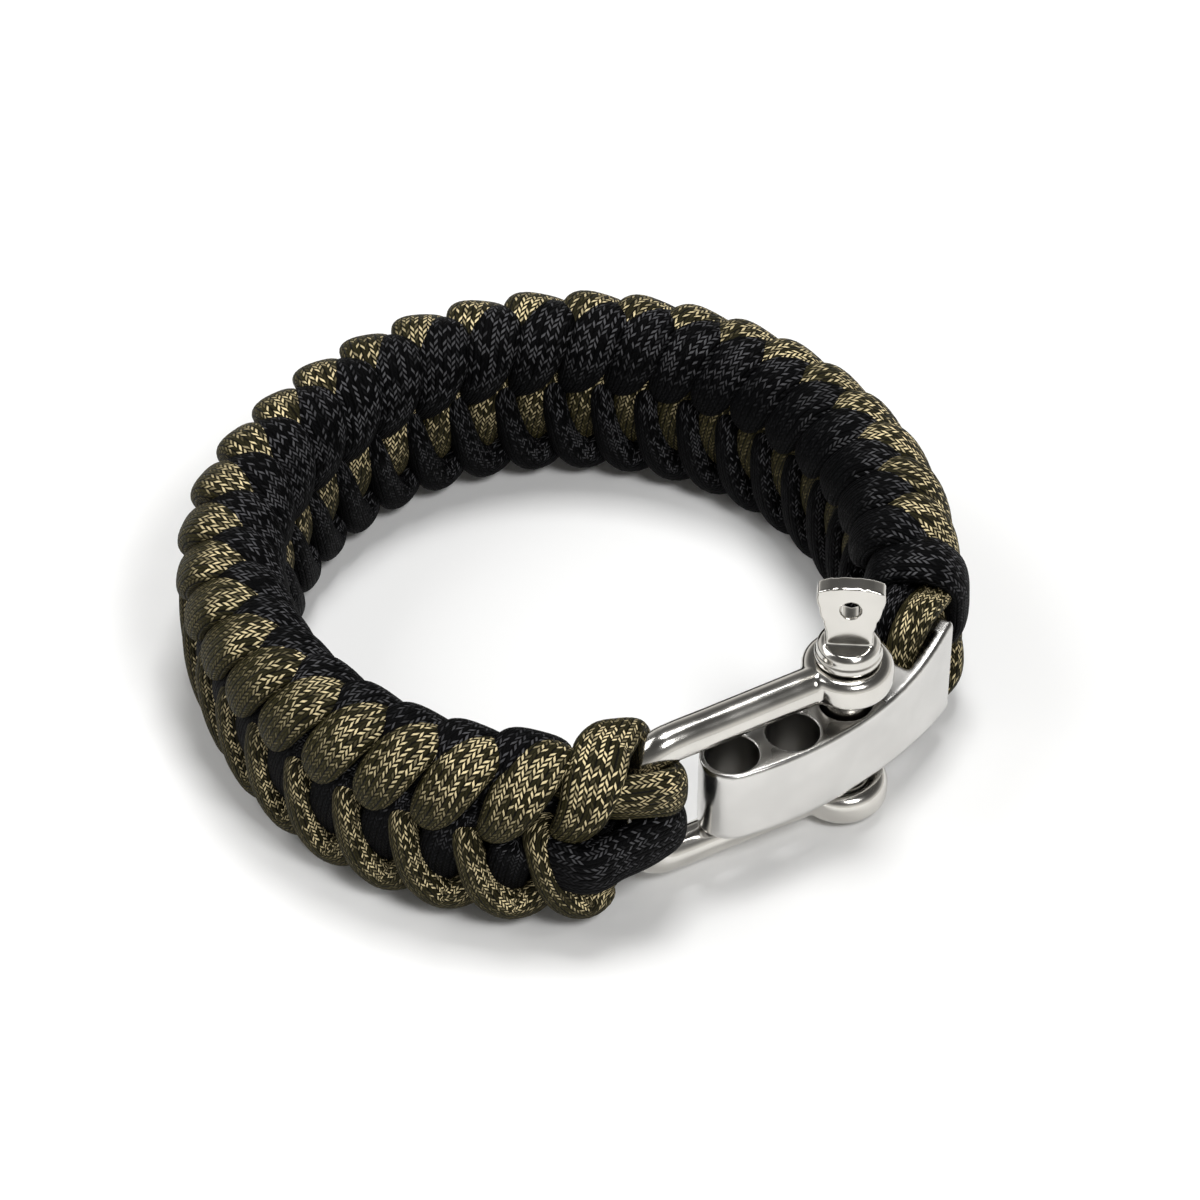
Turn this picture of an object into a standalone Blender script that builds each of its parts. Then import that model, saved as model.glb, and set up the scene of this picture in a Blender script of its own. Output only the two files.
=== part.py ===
"""Paracord bracelet with a screw-pin shackle and a curved adjuster bar, lying on its side.

Metres, +Z up. The ring's axis is vertical and passes through the origin of the plan; the floor is z = 0.
Along the band, "along" runs counter-clockwise seen from above, "out" points away from the ring's axis
and "up" is +Z.
"""

import math

import bmesh
import bpy
import numpy as np

# Ring and band
RING_RADIUS = 0.0344
RING_OVAL = 0.018
BAND_HEIGHT = 0.0200
BAND_THICKNESS = 0.0116
BAND_END_ANGLE = math.radians(-4.5)
REPEATS = 27
WEAVE_PHASE = 0.33
CORD_DIAMETER = 0.0042
CORE_WIDTH = 0.0068
CORE_HEIGHT = 0.0140
STATIONS_PER_REPEAT = 7
SIDES_OF_BAND = 16
GAP = 0.0003

# Cord loops at the two ends of the band
LOOP_CORD_WIDTH = 0.0046
LOOP_CORD_THICKNESS = 0.0028
OLIVE_LOOP_HEIGHT = 0.0130
BLACK_LOOP_HEIGHT = 0.0080
LOOP_NECK = 0.0047
LOOP_OUTER_START = 0.0027
LOOP_INNER_START = 0.0042
LOOP_BELLY = 0.0006
SLOT_CORD_DIAMETER = 0.0027
SLOT_CORD_DROP = 0.0022

# Shackle bow, a U of round rod with an eye at each end
ROD_DIAMETER = 0.0040
BOW_REACH = 0.0240
BOW_INSET = 0.0022
BEND_RADIUS = 0.0036
EYE_DIAMETER = 0.0094
EYE_HEIGHT = 0.0036
EYE_ROUNDING = 0.0009
JAW_GAP = 0.0124
ARM_SPREAD_AT_BEND = 0.0152
ARM_SPREAD_AT_EYES = 0.0156
SHACKLE_MIDDLE = 0.0105

# Screw pin
SHAFT_DIAMETER = 0.0046
COLLAR_DIAMETER = 0.0064
COLLAR_HEIGHT = 0.0021
STEP_DIAMETER = 0.0069
STEP_HEIGHT = 0.0007
SPADE_HEIGHT = 0.0075
SPADE_TOP_WIDTH = 0.0068
SPADE_FOOT_WIDTH = 0.0044
SPADE_THICKNESS = 0.0018
SPADE_CROWN = 0.0007
SPADE_HOLE_DIAMETER = 0.0021
SPADE_HOLE_HEIGHT = 0.0046
SPADE_WAIST_HEIGHT = 0.0017
SPADE_SHOULDER_HEIGHT = 0.0047
SPADE_SHOULDER_WIDTH = 0.0061
SPADE_TURN = math.radians(-4.0)

# Adjuster bar, measured along its own curve from the slot end
BAR_CURVE_RADIUS = 0.0380
BAR_LENGTH = 0.0313
BAR_THICKNESS = 0.0068
BAR_HEIGHT = 0.0090
BAR_LIFT = 0.0008
BAR_END_HEIGHT = 0.0122
BAR_END_LIFT = 0.0002
BAR_END_DEPTH = 0.0090
BAR_END_OUT = 0.00245
BAR_END_SETBACK = math.radians(8.85)
BAR_TURN = math.radians(-12.4)
BAR_CHAMFER = 0.0005
BAR_WALL = 0.0013
END_WALL = 0.0019
SLOT_LENGTH = 0.0050
HOLE_DIAMETER = 0.0054
HOLE_PITCH = 0.0069
HOLE_COUNT = 3

# One cord's way through one repeat of the weave. Columns: along as a share of the repeat,
# up as a share of half the free height, out as a share of half the free thickness.
# The other cord follows the same rows turned half a turn about the vertical.
WEAVE_ROWS = (
    (0.62, 1.00, 0.15),
    (0.52, 0.98, 0.80),
    (0.32, 0.70, 1.00),
    (0.08, 0.36, 1.00),
    (-0.16, 0.12, 0.80),
    (-0.42, 0.02, 0.42),
    (-0.66, -0.02, 0.42),
    (-0.78, -0.16, 0.72),
    (-0.66, -0.46, 0.90),
    (-0.38, -0.82, 0.88),
    (-0.02, -1.00, 0.68),
    (0.34, -0.98, 0.24),
    (0.46, -0.86, -0.20),
    (0.40, -0.48, -0.46),
    (0.20, -0.04, -0.68),
    (-0.08, 0.40, -0.56),
    (-0.28, 0.80, -0.42),
)
COLOUR_TURN = 0.42

# Shape of the bar toward its slot end. Columns: place as a share of the bar's length,
# share of the flare in height, share of the added depth on the inner side.
BAR_ROWS = (
    (0.00, 1.00, 1.00),
    (0.07, 0.82, 1.00),
    (0.16, 0.48, 1.00),
    (0.27, 0.18, 0.80),
    (0.38, 0.03, 0.15),
    (0.44, 0.00, 0.00),
    (0.60, 0.00, 0.00),
    (0.76, 0.00, 0.00),
)
END_ROUND_STEPS = 7

OLIVE = (0.055, 0.047, 0.020)
BLACK = (0.010, 0.011, 0.012)
WEAVE_MIX = (0.030, 0.027, 0.014)
STEEL = (0.62, 0.60, 0.56)


def clear_scene():
    """Remove every object of the scene that the script starts in."""
    for item in list(bpy.data.objects):
        bpy.data.objects.remove(item, do_unlink=True)


def make_collection(name):
    """Return a new collection linked under the scene."""
    collection = bpy.data.collections.new(name)
    bpy.context.scene.collection.children.link(collection)
    return collection


def make_material(name, colour, roughness, metallic):
    """Return a Principled material of one colour."""
    material = bpy.data.materials.new(name)
    material.use_nodes = True
    shader = material.node_tree.nodes["Principled BSDF"]
    shader.inputs["Base Color"].default_value = (*colour, 1.0)
    shader.inputs["Roughness"].default_value = roughness
    shader.inputs["Metallic"].default_value = metallic
    return material


def add_object(name, data, collection, material=None):
    """Link a new object that shows the given mesh or curve."""
    item = bpy.data.objects.new(name, data)
    collection.objects.link(item)
    if material is not None:
        data.materials.append(material)
    return item


def hide_helper(item):
    """Mark an object as a cutter that is not part of the model."""
    item.hide_render = True
    item.display_type = "WIRE"


def shade_smooth(item, angle=math.radians(35.0)):
    """Shade a mesh smooth except along its sharper edges."""
    item.data.shade_smooth()
    item.data.set_sharp_from_angle(angle=angle)


def mesh_from_rings(name, rings, centres=None):
    """Return a mesh lofted through closed rings of points, closed by a face or a fan at each end."""
    sides = len(rings[0])
    verts = [tuple(point) for ring in rings for point in ring]
    faces = []
    for k in range(len(rings) - 1):
        for j in range(sides):
            a = k * sides + j
            b = k * sides + (j + 1) % sides
            faces.append((a, b, b + sides, a + sides))
    last = (len(rings) - 1) * sides
    if centres is None:
        faces.append(tuple(reversed(range(sides))))
        faces.append(tuple(range(last, last + sides)))
    else:
        verts.extend(tuple(point) for point in centres)
        for j in range(sides):
            faces.append(((j + 1) % sides, j, len(verts) - 2))
            faces.append((last + j, last + (j + 1) % sides, len(verts) - 1))
    mesh = bpy.data.meshes.new(name)
    mesh.from_pydata(verts, [], faces)
    shape = bmesh.new()
    shape.from_mesh(mesh)
    bmesh.ops.recalc_face_normals(shape, faces=shape.faces)
    shape.to_mesh(mesh)
    shape.free()
    return mesh


def mesh_of(item):
    """Turn an object into a plain welded mesh object of the same name and place."""
    name = item.name
    place = item.matrix_world.copy()
    collection = item.users_collection[0]
    graph = bpy.context.evaluated_depsgraph_get()
    mesh = bpy.data.meshes.new_from_object(item.evaluated_get(graph))
    bpy.data.objects.remove(item, do_unlink=True)
    shape = bmesh.new()
    shape.from_mesh(mesh)
    bmesh.ops.remove_doubles(shape, verts=shape.verts, dist=1e-6)
    bmesh.ops.recalc_face_normals(shape, faces=shape.faces)
    shape.to_mesh(mesh)
    shape.free()
    solid = bpy.data.objects.new(name, mesh)
    solid.matrix_world = place
    collection.objects.link(solid)
    return solid


def add_boolean(item, other, operation):
    """Cut or join another object into this one with an exact Boolean."""
    modifier = item.modifiers.new(operation.lower(), "BOOLEAN")
    modifier.operation = operation
    modifier.solver = "EXACT"
    modifier.object = other
    hide_helper(other)


def cylinder(name, diameter, height, place, collection, sides=32):
    """Return an upright cylinder whose middle is at the given place."""
    shape = bmesh.new()
    bmesh.ops.create_cone(
        shape, cap_ends=True, segments=sides, radius1=diameter / 2, radius2=diameter / 2, depth=height
    )
    mesh = bpy.data.meshes.new(name)
    shape.to_mesh(mesh)
    shape.free()
    item = add_object(name, mesh, collection)
    item.location = place
    return item


def smooth_route(points, steps):
    """Return points on a smooth curve through the given ones, with so many steps in each stretch."""
    points = np.asarray(points, dtype=float)
    gaps = np.linalg.norm(np.diff(points, axis=0), axis=1)
    slopes = np.diff(points, axis=0) / gaps[:, None]
    tangents = np.vstack([slopes[:1], slopes[-1:]])
    inner = (slopes[:-1] * gaps[1:, None] + slopes[1:] * gaps[:-1, None]) / (gaps[1:] + gaps[:-1])[:, None]
    tangents = np.vstack([tangents[:1], inner, tangents[1:]])
    route = []
    for k, gap in enumerate(gaps):
        for step in range(steps):
            t = step / steps
            bend = t * t * (3 - 2 * t)
            leave = t * (1 - t) ** 2 * gap
            arrive = -t * t * (1 - t) * gap
            place = points[k] * (1 - bend) + points[k + 1] * bend
            route.append(place + tangents[k] * leave + tangents[k + 1] * arrive)
    route.append(points[-1])
    return np.array(route)


def cord_curve(name, route, collection, material, diameter=0.0, profile=None):
    """Return a cord along a route, round if it has a diameter, or swept from a profile curve."""
    curve = bpy.data.curves.new(name, "CURVE")
    curve.dimensions = "3D"
    curve.use_fill_caps = True
    if profile is None:
        curve.bevel_depth = diameter / 2
        curve.bevel_resolution = 2
    else:
        curve.bevel_mode = "OBJECT"
        curve.bevel_object = profile
        curve.twist_mode = "Z_UP"
    spline = curve.splines.new("POLY")
    spline.points.add(len(route) - 1)
    for point, place in zip(spline.points, route):
        point.co = (*place, 1.0)
    return add_object(name, curve, collection, material)


def oval_profile(name, width, thickness, collection, sides=12):
    """Return a flat closed curve, the section of a cord that lies on its flat side."""
    curve = bpy.data.curves.new(name, "CURVE")
    curve.dimensions = "2D"
    curve.fill_mode = "NONE"
    spline = curve.splines.new("POLY")
    spline.points.add(sides - 1)
    spline.use_cyclic_u = True
    for k, point in enumerate(spline.points):
        turn = 2 * math.pi * k / sides
        point.co = (thickness / 2 * math.cos(turn), width / 2 * math.sin(turn), 0.0, 1.0)
    profile = add_object(name, curve, collection)
    hide_helper(profile)
    return profile


def polar(radius, angle):
    """Return a plan vector of the given length and direction."""
    return np.array([radius * math.cos(angle), radius * math.sin(angle)])


def ring_point(angle, out, height):
    """Return the place at an angle round the slightly oval ring, so far outside its middle line."""
    middle_radius = RING_RADIUS * (1 + RING_OVAL * math.cos(2 * angle))
    return np.array([*polar(middle_radius + out, angle), height])


def bar_frame():
    """Return the centre of the bar's curve and the direction of its slot end from there."""
    end_angle = BAND_END_ANGLE - BAR_END_SETBACK
    end_direction = end_angle + BAR_TURN
    centre = polar(RING_RADIUS + BAR_END_OUT, end_angle) - polar(BAR_CURVE_RADIUS, end_direction)
    return centre, end_direction


def bar_point(along, out, height):
    """Return the place at a distance along the bar from its slot end, outside its middle line."""
    centre, end_direction = bar_frame()
    direction = end_direction - along / BAR_CURVE_RADIUS
    return np.array([*(centre + polar(BAR_CURVE_RADIUS + out, direction)), height])


def pin_place():
    """Return the plan place of the pin, in the bar's last hole toward the slot."""
    along = BAR_LENGTH - BAR_THICKNESS / 2 - (HOLE_COUNT - 1) * HOLE_PITCH
    return bar_point(along, 0.0, 0.0)[:2]


def bow_bend_place():
    """Return the plan place of the bow's bend, where its reach meets the inset ring line."""
    pin = pin_place()
    ring = RING_RADIUS - BOW_INSET
    distance = np.linalg.norm(pin)
    inward = (BOW_REACH**2 - ring**2 + distance**2) / (2 * distance)
    aside = math.sqrt(max(BOW_REACH**2 - inward**2, 0.0))
    toward = -pin / distance
    clockwise = np.array([toward[1], -toward[0]])
    options = (pin + toward * inward + clockwise * aside, pin + toward * inward - clockwise * aside)
    return min(options, key=lambda place: place[0])


def band_start_angle():
    """Return the angle of the band's end beside the bow, one neck short of the bend."""
    bend = bow_bend_place()
    return math.atan2(bend[1], bend[0]) - LOOP_NECK / RING_RADIUS


def weave_paths():
    """Return the two cords' routes in one repeat, as along, up and out in metres but along in repeats."""
    free_up = (BAND_HEIGHT - CORD_DIAMETER) / 2
    free_out = (BAND_THICKNESS - CORD_DIAMETER) / 2
    rows = np.array(WEAVE_ROWS)
    shifted = rows.copy()
    shifted[:, 0] -= 1.0
    before = rows.copy()
    before[:, 0] += 1.0
    whole = np.vstack([before, rows, shifted])
    route = smooth_route(whole, 6)
    first = route * np.array([1.0, free_up, free_out])
    second = first * np.array([-1.0, 1.0, -1.0]) + np.array([COLOUR_TURN, 0.0, 0.0])
    return first, second


def weave_skin(pitch):
    """Return the distance from the band's middle to the skin over its cords, by station and direction."""
    spread = []
    for path in weave_paths():
        for repeat in range(-2, 3):
            moved = path + np.array([float(repeat), 0.0, 0.0])
            spread.append(moved * np.array([pitch, 1.0, 1.0]))
    cords = np.vstack(spread)
    directions = section_directions()
    reach = np.zeros((STATIONS_PER_REPEAT, SIDES_OF_BAND))
    radius = CORD_DIAMETER / 2
    for station in range(STATIONS_PER_REPEAT):
        along = pitch * station / STATIONS_PER_REPEAT
        relative = cords - np.array([along, 0.0, 0.0])
        for side, direction in enumerate(directions):
            forward = relative[:, 1] * direction[0] + relative[:, 2] * direction[1]
            sideways = (relative**2).sum(axis=1) - forward**2
            inside = (sideways < radius**2) & (forward > 0)
            core = min(CORE_HEIGHT / 2 / max(abs(direction[0]), 1e-6),
                       CORE_WIDTH / 2 / max(abs(direction[1]), 1e-6))
            hit = forward[inside] + np.sqrt(radius**2 - sideways[inside])
            reach[station, side] = max(core, hit.max()) if inside.any() else core
    return reach, directions


def section_directions():
    """Return unit directions, up and out, that are spread evenly over the band's outline."""
    half_up = BAND_HEIGHT / 2
    half_out = BAND_THICKNESS / 2
    outline = 2 * (BAND_HEIGHT + BAND_THICKNESS)
    directions = []
    for k in range(SIDES_OF_BAND):
        travel = outline * (k + 0.5) / SIDES_OF_BAND
        if travel < BAND_HEIGHT:
            point = (travel - half_up, half_out)
        elif travel < BAND_HEIGHT + BAND_THICKNESS:
            point = (half_up, half_out - (travel - BAND_HEIGHT))
        elif travel < 2 * BAND_HEIGHT + BAND_THICKNESS:
            point = (half_up - (travel - BAND_HEIGHT - BAND_THICKNESS), -half_out)
        else:
            point = (-half_up, (travel - 2 * BAND_HEIGHT - BAND_THICKNESS) - half_out)
        length = math.hypot(*point)
        directions.append((point[0] / length, point[1] / length))
    return directions


def build_band(collection):
    """Make the woven band, one solid whose skin follows the two cords over their core."""
    start = band_start_angle()
    sweep = (start - BAND_END_ANGLE) % (2 * math.pi)
    pitch_angle = sweep / REPEATS
    reach, directions = weave_skin(pitch_angle * RING_RADIUS)
    stations = REPEATS * STATIONS_PER_REPEAT
    phase = round(WEAVE_PHASE * STATIONS_PER_REPEAT)
    middle = BAND_HEIGHT / 2
    rings = []
    for station in range(stations + 1):
        angle = BAND_END_ANGLE + sweep * station / stations
        row = reach[(station - phase) % STATIONS_PER_REPEAT]
        rings.append([ring_point(angle, r * d[1], middle + r * d[0]) for r, d in zip(row, directions)])
    lowest = min(point[2] for ring in rings for point in ring)
    for ring in rings:
        for point in ring:
            point[2] -= lowest
    centres = [ring_point(BAND_END_ANGLE, 0.0, middle), ring_point(BAND_END_ANGLE + sweep, 0.0, middle)]
    mesh = mesh_from_rings("woven_band", rings, centres)
    material = make_material("woven_cord", WEAVE_MIX, 0.75, 0.0)
    band = add_object("woven_band", mesh, collection, material)
    shade_smooth(band)
    return band


def build_bow_loops(collection, helpers):
    """Make the olive and the black loop that hold the bow's bend."""
    bend = bow_bend_place()
    start = band_start_angle()
    middle = ring_point(start + 2 * GAP / RING_RADIUS, 0.0, 0.0)[:2]
    outward = polar(1.0, start)
    toward = bend - middle
    toward = toward / np.linalg.norm(toward)
    aside = np.array([toward[1], -toward[0]])
    turn_radius = ROD_DIAMETER / 2 + GAP + LOOP_CORD_THICKNESS / 2
    straight = np.array([-outward[1], outward[0]]) * LOOP_CORD_THICKNESS / 4
    first = middle + outward * LOOP_OUTER_START
    plan = [first, first + straight]
    plan.append((first + straight + bend + aside * turn_radius) / 2 + aside * GAP)
    for turn in np.radians([90.0, 50.0, 20.0, -20.0, -50.0, -90.0]):
        plan.append(bend + turn_radius * (aside * math.sin(turn) + toward * math.cos(turn)))
    last = middle - outward * LOOP_INNER_START
    plan.append((last + straight + bend - aside * turn_radius) / 2 - aside * LOOP_BELLY)
    plan.extend([last + straight, last])
    profile = oval_profile("loop_section", LOOP_CORD_WIDTH, LOOP_CORD_THICKNESS, helpers)
    olive = make_material("olive_cord", OLIVE, 0.75, 0.0)
    black = make_material("black_cord", BLACK, 0.75, 0.0)
    loops = []
    for name, height, material in (
        ("olive_bow_loop", OLIVE_LOOP_HEIGHT, olive),
        ("black_bow_loop", BLACK_LOOP_HEIGHT, black),
    ):
        route = smooth_route([(*place, height) for place in plan], 3)
        loop = mesh_of(cord_curve(name, route, collection, material, profile=profile))
        shade_smooth(loop)
        loops.append(loop)
    return loops


def build_slot_loops(collection):
    """Make the black and the olive loop that pass over the bar's end wall and through its slot."""
    middle_height = bar_middle_height(0.0)
    top = middle_height + BAR_END_HEIGHT / 2 + GAP + SLOT_CORD_DIAMETER / 2
    foot = middle_height - BAR_END_HEIGHT / 2 - GAP - SLOT_CORD_DIAMETER / 2
    slot_middle = END_WALL + SLOT_LENGTH / 2
    wall = END_WALL / 2
    near = END_WALL + SLOT_CORD_DIAMETER / 2 + GAP
    drop = SLOT_CORD_DROP
    outer_wall = BAR_THICKNESS / 2 - BAR_WALL
    inner_wall = BAR_THICKNESS / 2 - BAR_END_DEPTH + BAR_WALL
    slot_out = (outer_wall + inner_wall) / 2
    aside = SLOT_CORD_DIAMETER / 2 + GAP / 2
    loops = []
    for name, colour, side in (("black_slot_loop", BLACK, -1.0), ("olive_slot_loop", OLIVE, 1.0)):
        out = slot_out + side * aside
        entry = side * (SLOT_CORD_DIAMETER / 2 + GAP)
        angle = BAND_END_ANGLE - 4 / 3 * GAP / RING_RADIUS
        stub_angle = angle - SLOT_CORD_DIAMETER / 4 / RING_RADIUS
        points = [
            ring_point(angle, entry, top - drop),
            ring_point(stub_angle, entry, top - drop),
            bar_point(-SLOT_CORD_DIAMETER / 2, out, top - GAP),
            bar_point(wall, out, top),
            bar_point(near, out, top - drop / 3),
            bar_point(slot_middle, out, top - drop * 4 / 3),
            bar_point(slot_middle, out, middle_height),
            bar_point(slot_middle, out, foot + drop * 4 / 3),
            bar_point(near, out, foot + drop / 3),
            bar_point(wall, out, foot),
            bar_point(-SLOT_CORD_DIAMETER / 2, out, foot + GAP),
            ring_point(stub_angle, entry, foot + drop),
            ring_point(angle, entry, foot + drop),
        ]
        material = make_material(name + "_cord", colour, 0.75, 0.0)
        loops.append(cord_curve(name, smooth_route(points, 3), collection, material, SLOT_CORD_DIAMETER))
    return loops


def build_bow(collection, helpers):
    """Make the shackle's bow, a U of rod joined to two eyes and bored for the pin."""
    steel = make_material("bow_steel", STEEL, 0.22, 1.0)
    low = SHACKLE_MIDDLE - ARM_SPREAD_AT_BEND / 2
    high = SHACKLE_MIDDLE + ARM_SPREAD_AT_BEND / 2
    points = [(EYE_DIAMETER / 4, 0.0, SHACKLE_MIDDLE + ARM_SPREAD_AT_EYES / 2)]
    for k in range(7):
        turn = math.pi / 2 * (1 - k / 6)
        points.append((BOW_REACH - BEND_RADIUS * (1 - math.cos(turn)), 0.0,
                       high - BEND_RADIUS * (1 - math.sin(turn))))
    for k in range(7):
        turn = math.pi / 2 * k / 6
        points.append((BOW_REACH - BEND_RADIUS * (1 - math.cos(turn)), 0.0,
                       low + BEND_RADIUS * (1 - math.sin(turn))))
    points.append((EYE_DIAMETER / 4, 0.0, SHACKLE_MIDDLE - ARM_SPREAD_AT_EYES / 2))
    rod = cord_curve("shackle_bow", points, collection, None, ROD_DIAMETER)
    rod.data.bevel_resolution = 4
    pin = pin_place()
    bend = bow_bend_place()
    rod.location = (*pin, 0.0)
    rod.rotation_euler.z = math.atan2(bend[1] - pin[1], bend[0] - pin[0])
    bpy.context.view_layer.update()
    bow = mesh_of(rod)
    eye_offset = (JAW_GAP + EYE_HEIGHT) / 2
    for name, offset in (("lower_eye", -eye_offset), ("upper_eye", eye_offset)):
        height = SHACKLE_MIDDLE + offset
        eye = cylinder(name, EYE_DIAMETER, EYE_HEIGHT, (*pin, height), helpers)
        bevel = eye.modifiers.new("rounding", "BEVEL")
        bevel.width = EYE_ROUNDING
        bevel.segments = 2
        bevel.limit_method = "ANGLE"
        add_boolean(bow, eye, "UNION")
    bore = cylinder("pin_bore", SHAFT_DIAMETER + 2 * GAP, 2 * high, (*pin, SHACKLE_MIDDLE), helpers, 24)
    add_boolean(bow, bore, "DIFFERENCE")
    bow.data.materials.append(steel)
    shade_smooth(bow)
    return bow


def build_pin(collection, helpers):
    """Make the screw pin: a shaft, a stepped collar and a flat spade head with a hole."""
    steel = make_material("pin_steel", STEEL, 0.20, 1.0)
    seat = SHACKLE_MIDDLE + JAW_GAP / 2 + EYE_HEIGHT + GAP
    foot = SHACKLE_MIDDLE - JAW_GAP / 2 - EYE_HEIGHT + GAP
    collar_top = seat + COLLAR_HEIGHT
    shaft = SHAFT_DIAMETER / 2
    collar = COLLAR_DIAMETER / 2
    step = STEP_DIAMETER / 2
    rounding = EYE_ROUNDING / 2
    profile = [
        (0.0, collar_top),
        (collar - rounding, collar_top),
        (collar, collar_top - rounding),
        (collar, seat + STEP_HEIGHT),
        (step, seat + STEP_HEIGHT - GAP / 3),
        (step, seat),
        (shaft, seat),
        (shaft, foot + rounding),
        (shaft - rounding, foot),
        (0.0, foot),
    ]
    mesh = bpy.data.meshes.new("screw_pin")
    verts = [(x, 0.0, z) for x, z in profile]
    mesh.from_pydata(verts, [(k, k + 1) for k in range(len(verts) - 1)], [])
    turned = add_object("screw_pin", mesh, collection)
    screw = turned.modifiers.new("turn", "SCREW")
    screw.steps = 24
    screw.render_steps = 24
    screw.use_merge_vertices = True
    screw.merge_threshold = 1e-6
    screw.use_normal_calculate = True
    turned.location = (*pin_place(), 0.0)
    turned.rotation_euler.z = SPADE_TURN
    bpy.context.view_layer.update()
    pin = mesh_of(turned)
    spade = build_spade(helpers)
    spade.location = (*pin_place(), collar_top - GAP)
    spade.rotation_euler = (math.pi / 2, 0.0, SPADE_TURN)
    bpy.context.view_layer.update()
    add_boolean(pin, mesh_of(spade), "UNION")
    pin.data.materials.append(steel)
    shade_smooth(pin)
    return pin


def build_spade(helpers):
    """Return the flat head's outline, extruded, with its round hole."""
    curve = bpy.data.curves.new("spade", "CURVE")
    curve.dimensions = "2D"
    curve.fill_mode = "BOTH"
    curve.extrude = SPADE_THICKNESS / 2
    half_top = SPADE_TOP_WIDTH / 2
    half_foot = SPADE_FOOT_WIDTH / 2
    corner = SPADE_HEIGHT - SPADE_CROWN
    half_shoulder = SPADE_SHOULDER_WIDTH / 2
    outline = [(-half_foot, 0.0), (half_foot, 0.0), (half_foot, SPADE_WAIST_HEIGHT)]
    outline.append((half_shoulder, SPADE_SHOULDER_HEIGHT))
    for k in range(9):
        x = half_top * (1 - 2 * k / 8)
        outline.append((x, corner + SPADE_CROWN * (1 - (x / half_top) ** 2)))
    outline.append((-half_shoulder, SPADE_SHOULDER_HEIGHT))
    outline.append((-half_foot, SPADE_WAIST_HEIGHT))
    hole_radius = SPADE_HOLE_DIAMETER / 2
    hole = []
    for k in range(16):
        turn = 2 * math.pi * k / 16
        hole.append((hole_radius * math.cos(turn), SPADE_HOLE_HEIGHT + hole_radius * math.sin(turn)))
    for ring in (outline, hole):
        spline = curve.splines.new("POLY")
        spline.points.add(len(ring) - 1)
        spline.use_cyclic_u = True
        for point, place in zip(spline.points, ring):
            point.co = (*place, 0.0, 1.0)
    return add_object("spade", curve, helpers)


def bar_middle_height(along_share):
    """Return the height of the bar's middle, which lifts toward its slot end."""
    seated = SHACKLE_MIDDLE - JAW_GAP / 2 + BAR_LIFT + BAR_HEIGHT / 2
    shares = [row[0] for row in BAR_ROWS]
    flares = [row[1] for row in BAR_ROWS]
    return seated + BAR_END_LIFT * float(np.interp(along_share, shares, flares))


def bar_section(along, height, inner, outer, middle):
    """Return one chamfered section of the bar, as a ring of points."""
    half = height / 2
    cut = min(BAR_CHAMFER, (outer - inner) / 4)
    corners = (
        (outer, -half + cut), (outer, half - cut), (outer - cut, half), (inner + cut, half),
        (inner, half - cut), (inner, -half + cut), (inner + cut, -half), (outer - cut, -half),
    )
    return [bar_point(along, out, middle + up) for out, up in corners]


def build_adjuster(collection, helpers):
    """Make the curved bar with its row of holes, round end, flared end and slot."""
    steel = make_material("bar_steel", STEEL, 0.12, 1.0)
    half = BAR_THICKNESS / 2
    sections = []
    for share, flare, depth in BAR_ROWS:
        height = BAR_HEIGHT + (BAR_END_HEIGHT - BAR_HEIGHT) * flare
        inner = -half - (BAR_END_DEPTH - BAR_THICKNESS) * depth
        sections.append(bar_section(share * BAR_LENGTH, height, inner, half, bar_middle_height(share)))
    for k in range(END_ROUND_STEPS):
        turn = math.pi / 2 * k / END_ROUND_STEPS
        along = BAR_LENGTH - half * (1 - math.sin(turn))
        reach = half * math.cos(turn)
        sections.append(bar_section(along, BAR_HEIGHT, -reach, reach, bar_middle_height(1.0)))
    bar = add_object("adjuster_bar", mesh_from_rings("adjuster_bar", sections), collection, steel)
    for k in range(HOLE_COUNT):
        place = bar_point(BAR_LENGTH - half - k * HOLE_PITCH, 0.0, bar_middle_height(1.0))
        hole = cylinder(f"bar_hole_{k + 1}", HOLE_DIAMETER, 2 * BAR_HEIGHT, place, helpers)
        add_boolean(bar, hole, "DIFFERENCE")
    add_boolean(bar, build_slot_cutter(helpers), "DIFFERENCE")
    shade_smooth(bar)
    return bar


def build_slot_cutter(helpers):
    """Return the curved block that cuts the bar's slot from top to bottom."""
    outer = BAR_THICKNESS / 2 - BAR_WALL
    inner = BAR_THICKNESS / 2 - BAR_END_DEPTH + BAR_WALL
    steps = 4
    rings = []
    for k in range(steps + 1):
        along = END_WALL + SLOT_LENGTH * k / steps
        low = bar_middle_height(0.0) - BAR_END_HEIGHT
        high = bar_middle_height(0.0) + BAR_END_HEIGHT
        corners = ((outer, low), (outer, high), (inner, high), (inner, low))
        rings.append([bar_point(along, out, height) for out, height in corners])
    return add_object("slot_cutter", mesh_from_rings("slot_cutter", rings), helpers)


def main():
    """Build the bracelet."""
    clear_scene()
    bracelet = make_collection("paracord_bracelet")
    helpers = make_collection("cutters")
    build_band(bracelet)
    build_bow_loops(bracelet, helpers)
    build_slot_loops(bracelet)
    build_bow(bracelet, helpers)
    build_pin(bracelet, helpers)
    build_adjuster(bracelet, helpers)


main()
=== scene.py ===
"""Looks of the paracord bracelet: knotted cords, core loops and polished steel fittings."""

import logging
import math
from dataclasses import dataclass, field
from enum import Enum
from typing import Callable, Sequence

import bmesh
import bpy
import numpy as np
from mathutils import Matrix, Vector


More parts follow.
